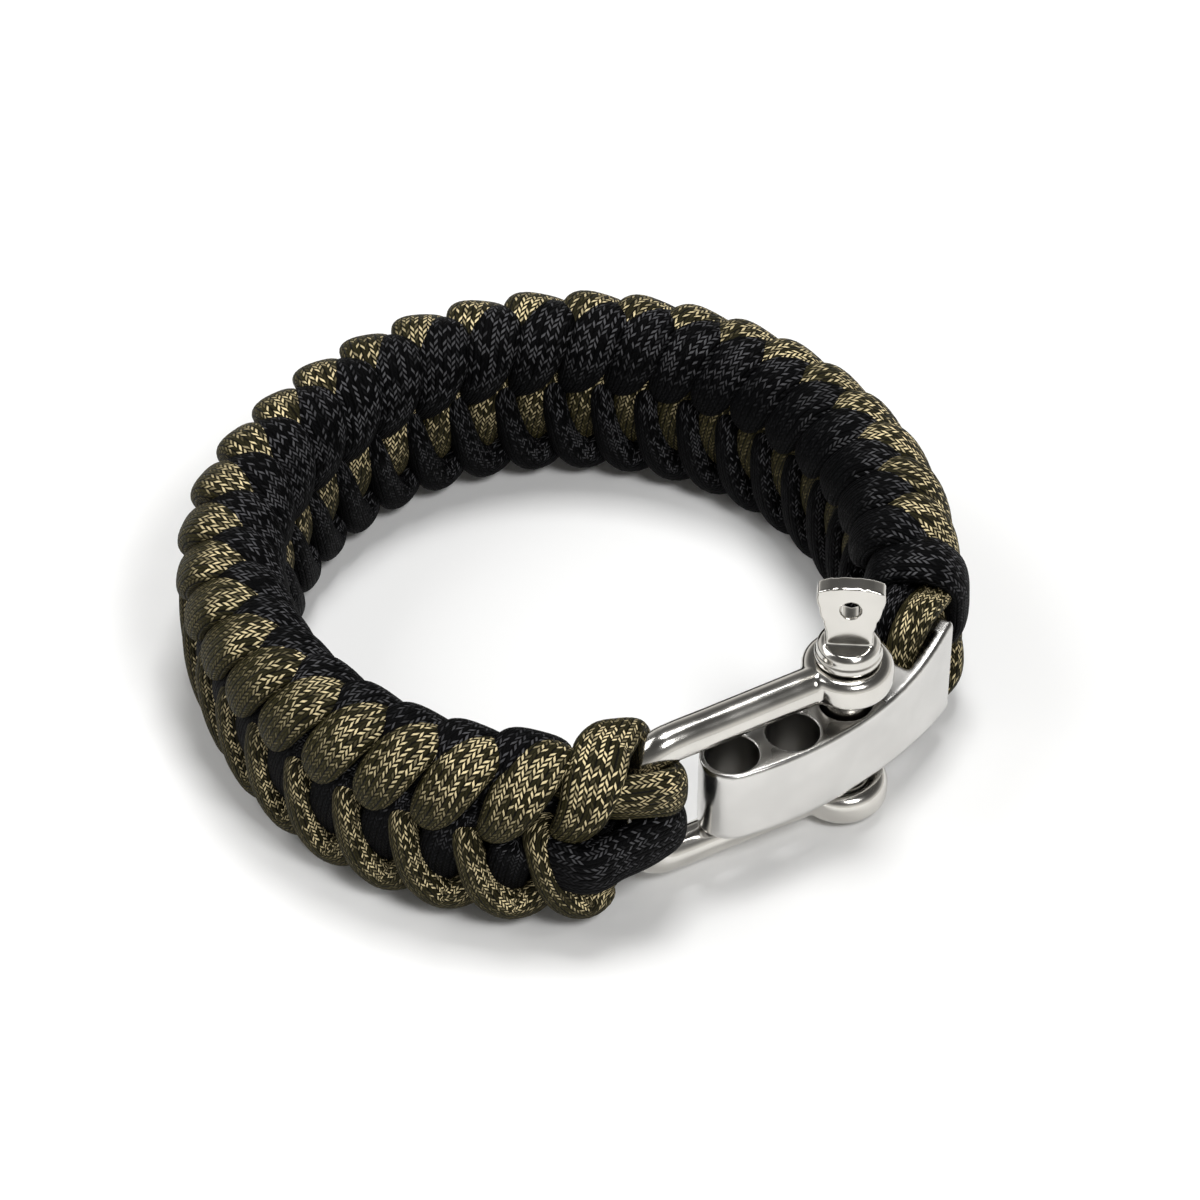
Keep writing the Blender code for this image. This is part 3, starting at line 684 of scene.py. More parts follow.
@dataclass
class WovenBand:
    """The two working cords, knotted round the core strands along the ring.

    The black cord takes the same way as the olive one from the other end, with inside and outside
    swapped, and a share of a repeat later.
    """

    ring: RingLine
    finishes: Finishes
    height: float = 20.0 * MM
    thickness: float = 12.6 * MM
    cord: float = 4.2 * MM
    repeats: int = 28
    colour_turn: float = 0.28
    rim_lean: float = 0.2 * MM
    pieces_per_cord: int = 3

    @property
    def free_height(self) -> float:
        """Return half the height that the cords' middles range over."""
        return (self.height - self.cord) / 2

    @property
    def free_thickness(self) -> float:
        """Return half the thickness that the cords' middles range over."""
        return (self.thickness - self.cord) / 2

    def in_metres(self, table: Sequence[Sequence[float]]) -> np.ndarray:
        """Scale a table of the weave.

        Args:
            table: Rows with the columns of WEAVE_ROWS.

        Returns:
            The rows, with all but their first column in metres.
        """
        rows = np.array(table)
        rows[:, 1] *= self.free_height
        rows[:, 2] *= self.free_thickness
        rows[:, 3:] *= MM
        return rows

    def rows(self, colour: CordColour) -> np.ndarray:
        """Return the cord's control rows over the whole band.

        Args:
            colour: Which of the two cords.

        Returns:
            Rows of along in repeats from the slot end, up, out, width and thickness.
        """
        base = self.in_metres(WEAVE_ROWS)
        span = CORD_SPANS[colour]
        blocks = []
        if colour is CordColour.OLIVE:
            blocks.append(self.in_metres(LEAD_IN_ROWS))
            blocks[0][:, 0] += span.first_repeat
        for repeat in range(span.first_repeat, span.last_repeat - 1, -1):
            start = span.first_row if repeat == span.first_repeat else 0
            stop = span.last_row if repeat == span.last_repeat else len(base)
            block = base[start:stop].copy()
            block[:, 0] += repeat
            blocks.append(block)
        whole = np.vstack(blocks)
        if colour is CordColour.BLACK:
            whole[:, 0] = self.repeats - whole[:, 0] + self.colour_turn
            whole[:, 2] *= -1
        raised = np.clip((whole[:, 1] / base[:, 1].max() - 0.4) / 0.5, 0.0, 1.0)
        whole[:, 2] -= self.rim_lean * raised
        return whole

    def route(self, colour: CordColour) -> np.ndarray:
        """Work out a cord's smooth way in space, with its outward directions and sizes.

        Args:
            colour: Which of the two cords.

        Returns:
            Rows that a flat cord is swept along.
        """
        rows = self.rows(colour)
        repeat_length = self.ring.sweep / self.repeats * self.ring.radius
        rows[:, 0] *= repeat_length
        dense = smooth_route(rows, 8)
        up, out = dense[:, 1], dense[:, 2]
        angle = np.radians(np.interp(dense[:, 0] / repeat_length, *np.array(REPEAT_PLACES).T))
        place = self.ring.place(angle, up, out)
        normal = self.ring.outward(
            angle, (up / self.free_height) ** 3, (out / self.free_thickness) ** 3 + 1e-6
        )
        return np.hstack([place, normal, dense[:, 3:5]])

    def build(self) -> list[Piece]:
        """Make and dress the pieces of both working cords.

        Returns:
            The pieces.
        """
        sweeper = FlatCord()
        pieces = []
        for colour in CordColour:
            route = even_route(self.route(colour), sweeper.step)
            cuts = np.linspace(0, len(route) - 1, self.pieces_per_cord + 1).astype(int)
            for k in range(self.pieces_per_cord):
                part = route[cuts[k]:cuts[k + 1] + 1]
                piece = sweeper.build(f"{colour.value}_working_cord_{k + 1}", part, cuts[k] * sweeper.step)
                pieces.append(self.finishes.dress(piece, CORD_FINISHES[colour], BAND_NODE, BAND_SLOT))
        return pieces


@dataclass
class CoreStrands:
    """The core strands inside the weave, stacked edge to edge."""

    ring: RingLine
    finishes: Finishes
    heights: tuple[float, ...] = (-5.2 * MM, -1.75 * MM, 1.75 * MM, 5.2 * MM)
    strand_height: float = 3.6 * MM
    strand_depth: float = 4.8 * MM
    stations: int = 180

    def build(self) -> list[Piece]:
        """Make and dress the strands.

        Returns:
            The pieces.
        """
        sweeper = FlatCord(step=0.9 * MM, sides=20)
        angle = np.linspace(self.ring.slot_end, self.ring.slot_end + self.ring.sweep, self.stations)
        normal = self.ring.outward(angle, 0.0, 1.0)
        sizes = np.tile([self.strand_height, self.strand_depth], (self.stations, 1))
        pieces = []
        for k, height in enumerate(self.heights):
            route = np.hstack([self.ring.place(angle, height, 0.0), normal, sizes])
            piece = sweeper.build(f"core_strand_{k + 1}", route)
            pieces.append(self.finishes.dress(piece, CORD_FINISHES[CordColour.BLACK], BAND_NODE, BAND_SLOT))
        return pieces


@dataclass(frozen=True)
class Fittings:
    """Places of the steel fittings, from the same sizes as the solids."""

    bar_radius: float = 38.0 * MM
    bar_length: float = 31.3 * MM
    bar_thickness: float = 6.8 * MM
    bar_height: float = 9.0 * MM
    bar_bottom: float = 5.1 * MM
    end_height: float = 12.2 * MM
    end_lift: float = 0.2 * MM
    end_depth: float = 9.0 * MM
    end_out: float = 2.45 * MM
    end_setback: float = math.radians(8.85)
    bar_turn: float = math.radians(-12.4)
    bar_wall: float = 1.3 * MM
    end_wall: float = 1.9 * MM
    slot_length: float = 5.0 * MM
    hole_diameter: float = 5.4 * MM
    hole_pitch: float = 6.9 * MM
    hole_count: int = 3
    bow_reach: float = 24.0 * MM
    bow_inset: float = 2.2 * MM
    rod: float = 4.0 * MM

    def bar_place(self, ring: RingLine, along: float, out: float, height: float) -> np.ndarray:
        """Return a place at a distance along the bar from its slot end, beside its middle line.

        Args:
            ring: The ring's middle line.
            along: Distance along the bar's curve.
            out: Distance outside its middle line.
            height: Height above the floor.

        Returns:
            The place.
        """
        end_angle = ring.slot_end - self.end_setback
        end_direction = end_angle + self.bar_turn
        reach = ring.radius + self.end_out
        centre = np.array([math.cos(end_angle), math.sin(end_angle)]) * reach
        centre -= np.array([math.cos(end_direction), math.sin(end_direction)]) * self.bar_radius
        direction = end_direction - along / self.bar_radius
        plan = centre + np.array([math.cos(direction), math.sin(direction)]) * (self.bar_radius + out)
        return np.array([*plan, height])

    def holes(self, ring: RingLine) -> list[np.ndarray]:
        """Work out where the bar's holes are.

        Args:
            ring: The ring's middle line.

        Returns:
            The plan place of each hole's axis, from the round end on.
        """
        first = self.bar_length - self.bar_thickness / 2
        alongs = (first - k * self.hole_pitch for k in range(self.hole_count))
        return [self.bar_place(ring, along, 0.0, 0.0)[:2] for along in alongs]

    def pin(self, ring: RingLine) -> np.ndarray:
        """Return the plan place of the pin, which is in the last hole."""
        return self.holes(ring)[-1]

    def bend(self, ring: RingLine) -> np.ndarray:
        """Work out where the shackle's bend is, from its reach and the ring's middle line.

        Args:
            ring: The ring's middle line.

        Returns:
            The plan place of the middle of the rod there.
        """
        pin = self.pin(ring)
        line = ring.radius - self.bow_inset
        distance = float(np.linalg.norm(pin))
        inward = (self.bow_reach**2 - line**2 + distance**2) / (2 * distance)
        aside = math.sqrt(max(self.bow_reach**2 - inward**2, 0.0))
        toward = -pin / distance
        clockwise = np.array([toward[1], -toward[0]])
        options = (pin + toward * inward + clockwise * aside, pin + toward * inward - clockwise * aside)
        return min(options, key=lambda place: place[0])


RingTable = tuple[tuple[float, float, float], ...]


@dataclass(frozen=True)
class BowLoop:
    """One loop round the shackle's bend, from the weave to the rod and back.

    The tables' columns are the angle round the ring in degrees, and the height above the floor and the
    distance outside the middle line in millimetres. The bend's heights go with BEND_TURNS, and are in
    millimetres, as both widths are.
    """

    outer: RingTable
    inner: RingTable
    bend_heights: tuple[float, ...]
    width: float
    outer_width: float


# Directions from the rod to the loop as it goes round the bend, in degrees.
BEND_TURNS = (80.0, 50.0, 20.0, -20.0, -50.0, -85.0)
BOW_LOOPS = {
    CordColour.OLIVE: BowLoop(
        outer=((264.0, 14.8, -1.2), (268.5, 15.4, 0.2), (273.0, 16.0, 1.3), (277.5, 16.3, 2.0)),
        inner=((283.5, 14.6, -5.2),),
        bend_heights=(15.7, 14.6, 13.6, 13.3, 13.4, 13.9),
        width=5.1,
        outer_width=5.2,
    ),
    CordColour.BLACK: BowLoop(
        outer=((258.0, 9.4, 0.8), (264.0, 9.6, 2.4), (268.5, 9.6, 4.2), (272.5, 9.5, 5.0), (277.0, 9.8, 3.6)),
        inner=((277.0, 8.8, -4.6), (273.0, 9.0, -3.8), (268.0, 9.0, -1.5)),
        bend_heights=(9.8, 9.2, 8.5, 8.2, 8.3, 8.5),
        width=4.9,
        outer_width=6.2,
    ),
}


@dataclass(frozen=True)
class SlotStrand:
    """One strand over the bar's end wall, through its slot and back below it.

    Its sizes are in millimetres, and the tail has the columns of the tables of BowLoop.
    """

    width: float
    out: float
    entry: float
    tail: RingTable
    tail_faces_down: bool


SLOT_STRANDS = {
    CordColour.OLIVE: SlotStrand(
        width=3.7, out=0.15, entry=2.6, tail=((-8.5, 4.2, 4.6), (-4.0, 6.0, 4.6), (1.0, 8.0, 2.5)),
        tail_faces_down=False,
    ),
    CordColour.BLACK: SlotStrand(
        width=2.4, out=-2.95, entry=-0.6, tail=((-8.0, 3.4, 0.0), (-2.0, 5.0, -0.6), (4.0, 7.0, -0.6)),
        tail_faces_down=True,
    ),
}


@dataclass
class CoreLoops:
    """The core strands' loops at both ends of the band."""

    ring: RingLine
    fittings: Fittings
    finishes: Finishes
    thickness: float = 2.8 * MM
    clearance: float = 0.15 * MM
    slot_clearance: float = 0.25 * MM
    slot_thickness: float = 2.4 * MM

    def ring_rows(self, table: RingTable, side: float = 0.0, lift: float = 0.0) -> list[tuple[float, ...]]:
        """Return places and outward directions for a table of angle, height and distance out.

        Args:
            table: Rows of degrees, and millimetres up and out.
            side: 1 where the cord's broad face looks outward, -1 where it looks inward.
            lift: 1 where it looks up, -1 where it looks down.

        Returns:
            Rows of place and direction.
        """
        rows = []
        for degrees, height, out in table:
            angle = math.radians(degrees)
            place = self.ring.place(angle, height * MM - self.ring.middle_height, out * MM)
            rows.append((*place, side * math.cos(angle), side * math.sin(angle), lift))
        return rows

    def bow_route(self, colour: CordColour) -> np.ndarray:
        """Return the route of a loop round the bow's bend.

        Args:
            colour: Which of the two loops.

        Returns:
            Rows that a flat cord is swept along.
        """
        loop = BOW_LOOPS[colour]
        bend = self.fittings.bend(self.ring)
        toward = bend - self.ring.place(self.ring.bow_end, 0.0, 0.0)[:2]
        toward /= np.linalg.norm(toward)
        aside = np.array([toward[1], -toward[0]])
        reach = self.fittings.rod / 2 + self.clearance + self.thickness / 2
        rows = self.ring_rows(loop.outer, side=1.0)
        for turn, height in zip(np.radians(BEND_TURNS), loop.bend_heights):
            direction = aside * math.sin(turn) + toward * math.cos(turn)
            rows.append((*(bend + reach * direction), height * MM, *direction, 0.0))
        rows.extend(self.ring_rows(loop.inner, side=-1.0))
        sizes = np.tile([loop.width * MM, self.thickness], (len(rows), 1))
        sizes[:len(loop.outer) + 1, 0] = loop.outer_width * MM
        return smooth_route(np.hstack([np.array(rows), sizes]), 10)

    def slot_route(self, colour: CordColour) -> np.ndarray:
        """Return the route of a flat strand over the bar's end wall and through its slot.

        Args:
            colour: Which of the two strands.

        Returns:
            Rows that a flat cord is swept along.
        """
        fit = self.fittings
        strand = SLOT_STRANDS[colour]
        half = self.slot_thickness / 2
        middle = fit.bar_bottom + fit.bar_height / 2 + fit.end_lift
        top = middle + fit.end_height / 2 + self.clearance + half
        foot = 2 * middle - top
        wall = fit.end_wall
        far = wall + fit.slot_length - half - self.slot_clearance
        entry = (
            (6.0, 13.0, strand.entry * 0.6),
            (-3.0, 15.2, strand.entry),
            (-8.0, 16.0, strand.entry + 0.2),
        )
        rows = self.ring_rows(entry, lift=1.0)
        for along, height, normal in (
            (-0.6 * MM, top - 0.5 * MM, (0, 0, 1)),
            (wall / 2, top, (0, 0, 1)),
            (wall + 1.3 * MM, top - 0.45 * MM, (0.2, -0.3, 1)),
            (far - 0.6 * MM, top - 2.2 * MM, (0.5, -0.7, 0.5)),
            (far, top - 4.6 * MM, (0.6, -0.8, 0)),
            (far, middle, (0.6, -0.8, 0)),
            (far - 0.3 * MM, foot + 2.8 * MM, (0.6, -0.8, 0)),
            (wall + 1.6 * MM, foot + 0.6 * MM, (0.5, -0.5, -1)),
            (wall / 2, foot, (0, 0, -1)),
            (-1.0 * MM, foot + 0.4 * MM, (0, 0, -1)),
        ):
            rows.append((*fit.bar_place(self.ring, along, strand.out * MM, height), *normal))
        facing = {"lift": -1.0} if strand.tail_faces_down else {"side": 1.0}
        rows.extend(self.ring_rows(strand.tail, **facing))
        sizes = np.tile([strand.width * MM, self.slot_thickness], (len(rows), 1))
        return smooth_route(np.hstack([np.array(rows, dtype=float), sizes]), 10)

    def build(self) -> list[Piece]:
        """Make and dress the four loops.

        Returns:
            The pieces.
        """
        sweeper = FlatCord()
        pieces = []
        for colour, finish in CORD_FINISHES.items():
            for end, route in (("bow", self.bow_route(colour)), ("slot", self.slot_route(colour))):
                node = f"{colour.value}_{end}_loop"
                piece = sweeper.build(f"{node}_cord", route)
                pieces.append(self.finishes.dress(piece, finish, node, finish.slot))
        return pieces


# The black cord's last turn over the strands beside the bar. Columns: degrees round the ring, up and out
# in millimetres, width and thickness in millimetres.
WRAP_ROWS = (
    (-3.5, -5.0, -1.5, 4.4, 2.4),
    (-4.5, 0.0, -2.8, 4.8, 2.4),
    (-5.5, 4.8, -3.1, 5.4, 2.5),
    (-6.5, 8.0, -2.0, 6.0, 2.6),
    (-7.2, 9.2, 0.4, 6.2, 2.7),
    (-7.4, 9.3, 2.8, 6.2, 2.7),
    (-7.0, 7.6, 4.8, 5.8, 2.6),
    (-6.5, 4.4, 5.4, 5.2, 2.5),
    (-6.0, 0.6, 5.2, 4.6, 2.4),
    (-5.0, -2.5, 3.6, 4.0, 2.4),
)


@dataclass
class EndWrap:
    """The black cord's last turn, which binds the strands beside the bar.

    Its broad face looks away from the turn's middle, which lies outside the ring's middle line.
    Sizes are in millimetres.
    """

    ring: RingLine
    finishes: Finishes
    middle_out: float = 1.3
    half_height: float = 8.0
    half_depth: float = 4.0

    def build(self) -> list[Piece]:
        """Make and dress the turn.

        Returns:
            The pieces.
        """
        degrees, up, out, width, thickness = np.array(WRAP_ROWS).T
        angle = np.radians(degrees)
        place = self.ring.place(angle, up * MM, out * MM)
        normal = self.ring.outward(
            angle, (up / self.half_height) ** 3, ((out - self.middle_out) / self.half_depth) ** 3
        )
        sizes = np.stack([width, thickness], axis=1) * MM
        piece = FlatCord().build("black_end_wrap", smooth_route(np.hstack([place, normal, sizes]), 10))
        return [self.finishes.dress(piece, CORD_FINISHES[CordColour.BLACK], BAND_NODE, BAND_SLOT)]


@dataclass
class Shell:
    """A closed surface in millimetres, as points and faces."""

    points: np.ndarray
    faces: list[tuple[int, ...]]

    @classmethod
    def from_rings(cls, rings: np.ndarray, looped: bool = False) -> "Shell":
        """Join rings of points into a closed surface.

        Args:
            rings: Stations by sides by three.
            looped: Whether the last ring meets the first; otherwise both ends are capped.

        Returns:
            The surface.
        """
        count, sides = rings.shape[:2]
        faces = []
        for k in range(count if looped else count - 1):
            after = (k + 1) % count
            for j in range(sides):
                side = (j + 1) % sides
                faces.append((k * sides + j, k * sides + side, after * sides + side, after * sides + j))
        if not looped:
            faces.append(tuple(reversed(range(sides))))
            faces.append(tuple((count - 1) * sides + j for j in range(sides)))
        return cls(rings.reshape(-1, 3), faces)

    @classmethod
    def turned(cls, profile: np.ndarray, middle: np.ndarray, looped: bool, sides: int = 72) -> "Shell":
        """Turn a profile about an upright axis.

        Args:
            profile: Rows of radius and height.
            middle: Plan place of the axis.
            looped: Whether the profile closes on itself; otherwise it starts and ends on the axis.
            sides: How many sides the turned surface has.

        Returns:
            The surface.
        """
        turn = 2 * math.pi * np.arange(sides) / sides
        radius = np.maximum(profile[:, 0], 1e-3)
        x = middle[0] + radius[:, None] * np.cos(turn)[None, :]
        y = middle[1] + radius[:, None] * np.sin(turn)[None, :]
        z = np.broadcast_to(profile[:, 1:2], x.shape)
        return cls.from_rings(np.stack([x, y, z], axis=-1), looped)

    def thing(self, name: str) -> Piece:
        """Make an object of this surface with its faces outward.

        Args:
            name: The object's name.

        Returns:
            The new object, linked to the scene.
        """
        mesh = bpy.data.meshes.new(name)
        mesh.from_pydata(self.points.tolist(), [], self.faces)
        mesh.validate()
        grown = bmesh.new()
        grown.from_mesh(mesh)
        bmesh.ops.recalc_face_normals(grown, faces=grown.faces)
        grown.to_mesh(mesh)
        grown.free()
        return new_thing(name, mesh)


@dataclass
class PolishedSolid:
    """Joins shells, cuts holes in them and rounds their edges as polishing does."""

    name: str
    node: str
    finish: SteelFinish
    grain: float
    rounds: int

    def build(self, finishes: Finishes, shells: list[Shell], cutters: Sequence[Shell] = ()) -> Piece:
        """Make and dress the rounded piece.

        Args:
            finishes: The materials.
            shells: The surfaces that it is joined from.
            cutters: The surfaces that are cut away.

        Returns:
            The piece, in metres.
        """
        points, faces = [], []
        for shell in shells:
            offset = sum(len(part) for part in points)
            points.append(shell.points)
            faces.extend(tuple(k + offset for k in face) for face in shell.faces)
        source = Shell(np.vstack(points), faces).thing("source")
        helpers = [source]
        for k, cutter in enumerate(cutters):
            helpers.append(cutter.thing(f"cutter_{k}"))
            cut = source.modifiers.new(f"cut_{k}", "BOOLEAN")
            cut.operation = "DIFFERENCE"
            cut.solver = "EXACT"
            cut.object = helpers[-1]
        skin = source.modifiers.new("skin", "REMESH")
        skin.mode = "VOXEL"
        skin.voxel_size = self.grain
        skin.use_smooth_shade = True
        polish = source.modifiers.new("polish", "SMOOTH")
        polish.factor = 0.5
        polish.iterations = self.rounds
        bpy.context.view_layer.update()
        ready = source.evaluated_get(bpy.context.evaluated_depsgraph_get())
        mesh = bpy.data.meshes.new_from_object(ready)
        mesh.transform(Matrix.Scale(MM, 4))
        mesh.name = self.name
        mesh.materials.clear()
        mesh.shade_smooth()
        for helper in helpers:
            data = helper.data
            bpy.data.objects.remove(helper)
            bpy.data.meshes.remove(data)
        return finishes.dress(new_thing(self.name, mesh), self.finish, self.node, self.finish.slot)


def rounded_profile(inner: float, outer: float, low: float, high: float, rounding: float) -> np.ndarray:
    """Return the closed section of a washer with its outer edges rounded.

    Args:
        inner: Radius of its hole.
        outer: Its outer radius.
        low: Height of its lower face.
        high: Height of its upper face.
        rounding: Radius of the outer edges.

    Returns:
        Rows of radius and height.
    """
    rows = [(inner, low)]
    for turn in np.radians(np.linspace(-90.0, 0.0, 7)):
        rows.append((outer - rounding * (1 - math.cos(turn)), low + rounding * (1 + math.sin(turn))))
    for turn in np.radians(np.linspace(0.0, 90.0, 7)):
        rows.append((outer - rounding * (1 - math.cos(turn)), high - rounding * (1 - math.sin(turn))))
    rows.append((inner, high))
    return np.array(rows)


@dataclass
class Shackle:
    """The bow: a U of round rod that ends in two eyes. Sizes are in millimetres."""

    ring: RingLine
    fittings: Fittings
    finishes: Finishes
    middle: float = 10.5
    spread_at_bend: float = 15.2
    spread_at_eyes: float = 15.6
    corner: float = 3.6
    rod: float = 4.0
    reach: float = 24.0
    rod_start: float = 3.0
    eye: float = 9.4
    eye_height: float = 3.6
    eye_rounding: float = 1.2
    jaw: float = 12.4
    bore: float = 5.2
    sides: int = 40

    def rod_route(self) -> np.ndarray:
        """Work out the rod's middle line, from the upper eye round to the lower one.

        Returns:
            Rows of reach from the pin and height.
        """
        rows = []
        for share in (0.0, 0.25, 0.5, 0.75):
            reach = self.rod_start + (self.reach - self.corner - self.rod_start) * share
            spread = self.spread_at_eyes + (self.spread_at_bend - self.spread_at_eyes) * share
            rows.append((reach, self.middle + spread / 2))
        high = self.middle + self.spread_at_bend / 2
        for turn in np.radians(np.linspace(90.0, 0.0, 11)):
            inset = self.corner * (1 - math.cos(turn))
            drop = self.corner * (1 - math.sin(turn))
            rows.append((self.reach - inset, high - drop))
        mirrored = [(reach, 2 * self.middle - height) for reach, height in reversed(rows)]
        return np.array(rows + mirrored)

    def rod_shell(self) -> Shell:
        """Sweep the rod's round section along its middle line.

        Returns:
            The rod's surface.
        """
        dense = smooth_route(self.rod_route(), 4, columns=2)
        step = np.gradient(dense, axis=0)
        step /= np.linalg.norm(step, axis=1, keepdims=True)
        pin = self.fittings.pin(self.ring) / MM
        bend = self.fittings.bend(self.ring) / MM
        toward = (bend - pin) / np.linalg.norm(bend - pin)
        side = np.array([-toward[1], toward[0], 0.0])
        turn = 2 * math.pi * np.arange(self.sides) / self.sides
        rings = []
        for (reach, height), (along, up) in zip(dense, step):
            middle = np.array([*(pin + toward * reach), height])
            cross = np.array([-toward[0] * up, -toward[1] * up, along])
            circle = np.cos(turn)[:, None] * side + np.sin(turn)[:, None] * cross
            rings.append(middle + self.rod / 2 * circle)
        return Shell.from_rings(np.array(rings))

    def build(self) -> list[Piece]:
        """Make and dress the bow.

        Returns:
            The pieces.
        """
        pin = self.fittings.pin(self.ring) / MM
        shells = [self.rod_shell()]
        for sign in (-1.0, 1.0):
            near = self.middle + sign * self.jaw / 2
            low, high = sorted((near, near + sign * self.eye_height))
            profile = rounded_profile(self.bore / 2, self.eye / 2, low, high, self.eye_rounding)
            shells.append(Shell.turned(profile, pin, True))
        solid = PolishedSolid("polished_bow", "shackle_bow", SHACKLE_FINISH, grain=0.2, rounds=8)
        return [solid.build(self.finishes, shells)]


@dataclass
class ScrewPin:
    """The screw pin: a shaft, a stepped collar and a flat spade head with a hole.

    Sizes are in millimetres. The outline is the spade's right half, as rows of distance from its middle
    and height above the collar.
    """

    ring: RingLine
    fittings: Fittings
    finishes: Finishes
    foot: float = 1.0
    seat: float = 20.6
    shaft: float = 4.6
    collar: float = 6.4
    collar_height: float = 2.1
    step: float = 6.9
    step_height: float = 0.7
    foot_cut: float = 0.4
    collar_cut: float = 0.5
    ledge_slope: float = 0.1
    spade_turn: float = math.radians(-4.0)
    spade_thickness: float = 1.9
    hole: float = 2.1
    hole_height: float = 4.6
    outline: tuple[tuple[float, float], ...] = (
        (2.35, -0.6), (2.25, 0.6), (2.3, 1.7), (2.62, 3.1), (3.1, 4.8), (3.42, 6.2), (3.3, 6.9), (2.6, 7.2),
        (1.3, 7.45), (0.0, 7.5),
    )
    spokes: int = 96

    def spade_edge(self) -> tuple[np.ndarray, np.ndarray]:
        """Work out the spade's edge as seen from its hole, with its foot cut straight.

        Returns:
            The directions from the hole, in radians, and how far the edge is in each.
        """
        right = np.array(self.outline)
        loop = np.vstack([right, right[::-1][1:] * np.array([-1.0, 1.0])])
        relative = loop - np.array([0.0, self.hole_height])
        bearing = np.unwrap(np.arctan2(relative[:, 1], relative[:, 0]))
        bearing = np.append(bearing, bearing[0] + 2 * math.pi)
        reach = np.linalg.norm(relative, axis=1)
        reach = np.append(reach, reach[0])
        turn = bearing[0] + 2 * math.pi * np.arange(self.spokes) / self.spokes
        edge = np.interp(turn, bearing, reach)
        down = -np.sin(turn)
        foot_reach = (self.hole_height - self.outline[0][1]) / np.maximum(down, 1e-6)
        return turn, np.where(down > 0.5, np.minimum(edge, foot_reach), edge)

    def spade(self) -> Shell:
        """Make the flat head with its round hole.

        Returns:
            Its surface.
        """
        turn, edge = self.spade_edge()
        half = self.spade_thickness / 2
        pin = np.array([*(self.fittings.pin(self.ring) / MM), 0.0])
        base = self.seat + self.collar_height
        wide = np.array([math.cos(self.spade_turn), math.sin(self.spade_turn), 0.0])
        deep = np.array([-wide[1], wide[0], 0.0])
        rings = []
        for radius, side in ((self.hole / 2, -half), (edge, -half), (edge, half), (self.hole / 2, half)):
            x = radius * np.cos(turn)
            z = radius * np.sin(turn) + self.hole_height + base
            rings.append(pin + x[:, None] * wide + side * deep + z[:, None] * np.array([0, 0, 1.0]))
        return Shell.from_rings(np.array(rings), looped=True)

    def build(self) -> list[Piece]:
        """Make and dress the pin.

        Returns:
            The pieces.
        """
        pin = self.fittings.pin(self.ring) / MM
        shaft, collar, step = self.shaft / 2, self.collar / 2, self.step / 2
        top = self.seat + self.collar_height
        ledge = self.seat + self.step_height
        profile = np.array([
            (0.0, self.foot), (shaft - self.foot_cut, self.foot), (shaft, self.foot + self.foot_cut),
            (shaft, self.seat), (step, self.seat), (step, ledge), (collar, ledge + self.ledge_slope),
            (collar, top - self.collar_cut), (collar - self.collar_cut, top), (0.0, top),
        ])
        solid = PolishedSolid("polished_pin", "screw_pin", SHACKLE_FINISH, grain=0.13, rounds=8)
        return [solid.build(self.finishes, [Shell.turned(profile, pin, False), self.spade()])]


# Shape of the bar toward its slot end. Columns: place as a share of the bar's length,
# share of the flare in height, share of the added depth on the inner side.
BAR_ROWS = (
    (0.00, 1.00, 1.00),
    (0.07, 0.82, 1.00),
    (0.16, 0.48, 1.00),
    (0.27, 0.18, 0.80),
    (0.38, 0.03, 0.15),
    (0.44, 0.00, 0.00),
    (0.60, 0.00, 0.00),
    (0.76, 0.00, 0.00),
)


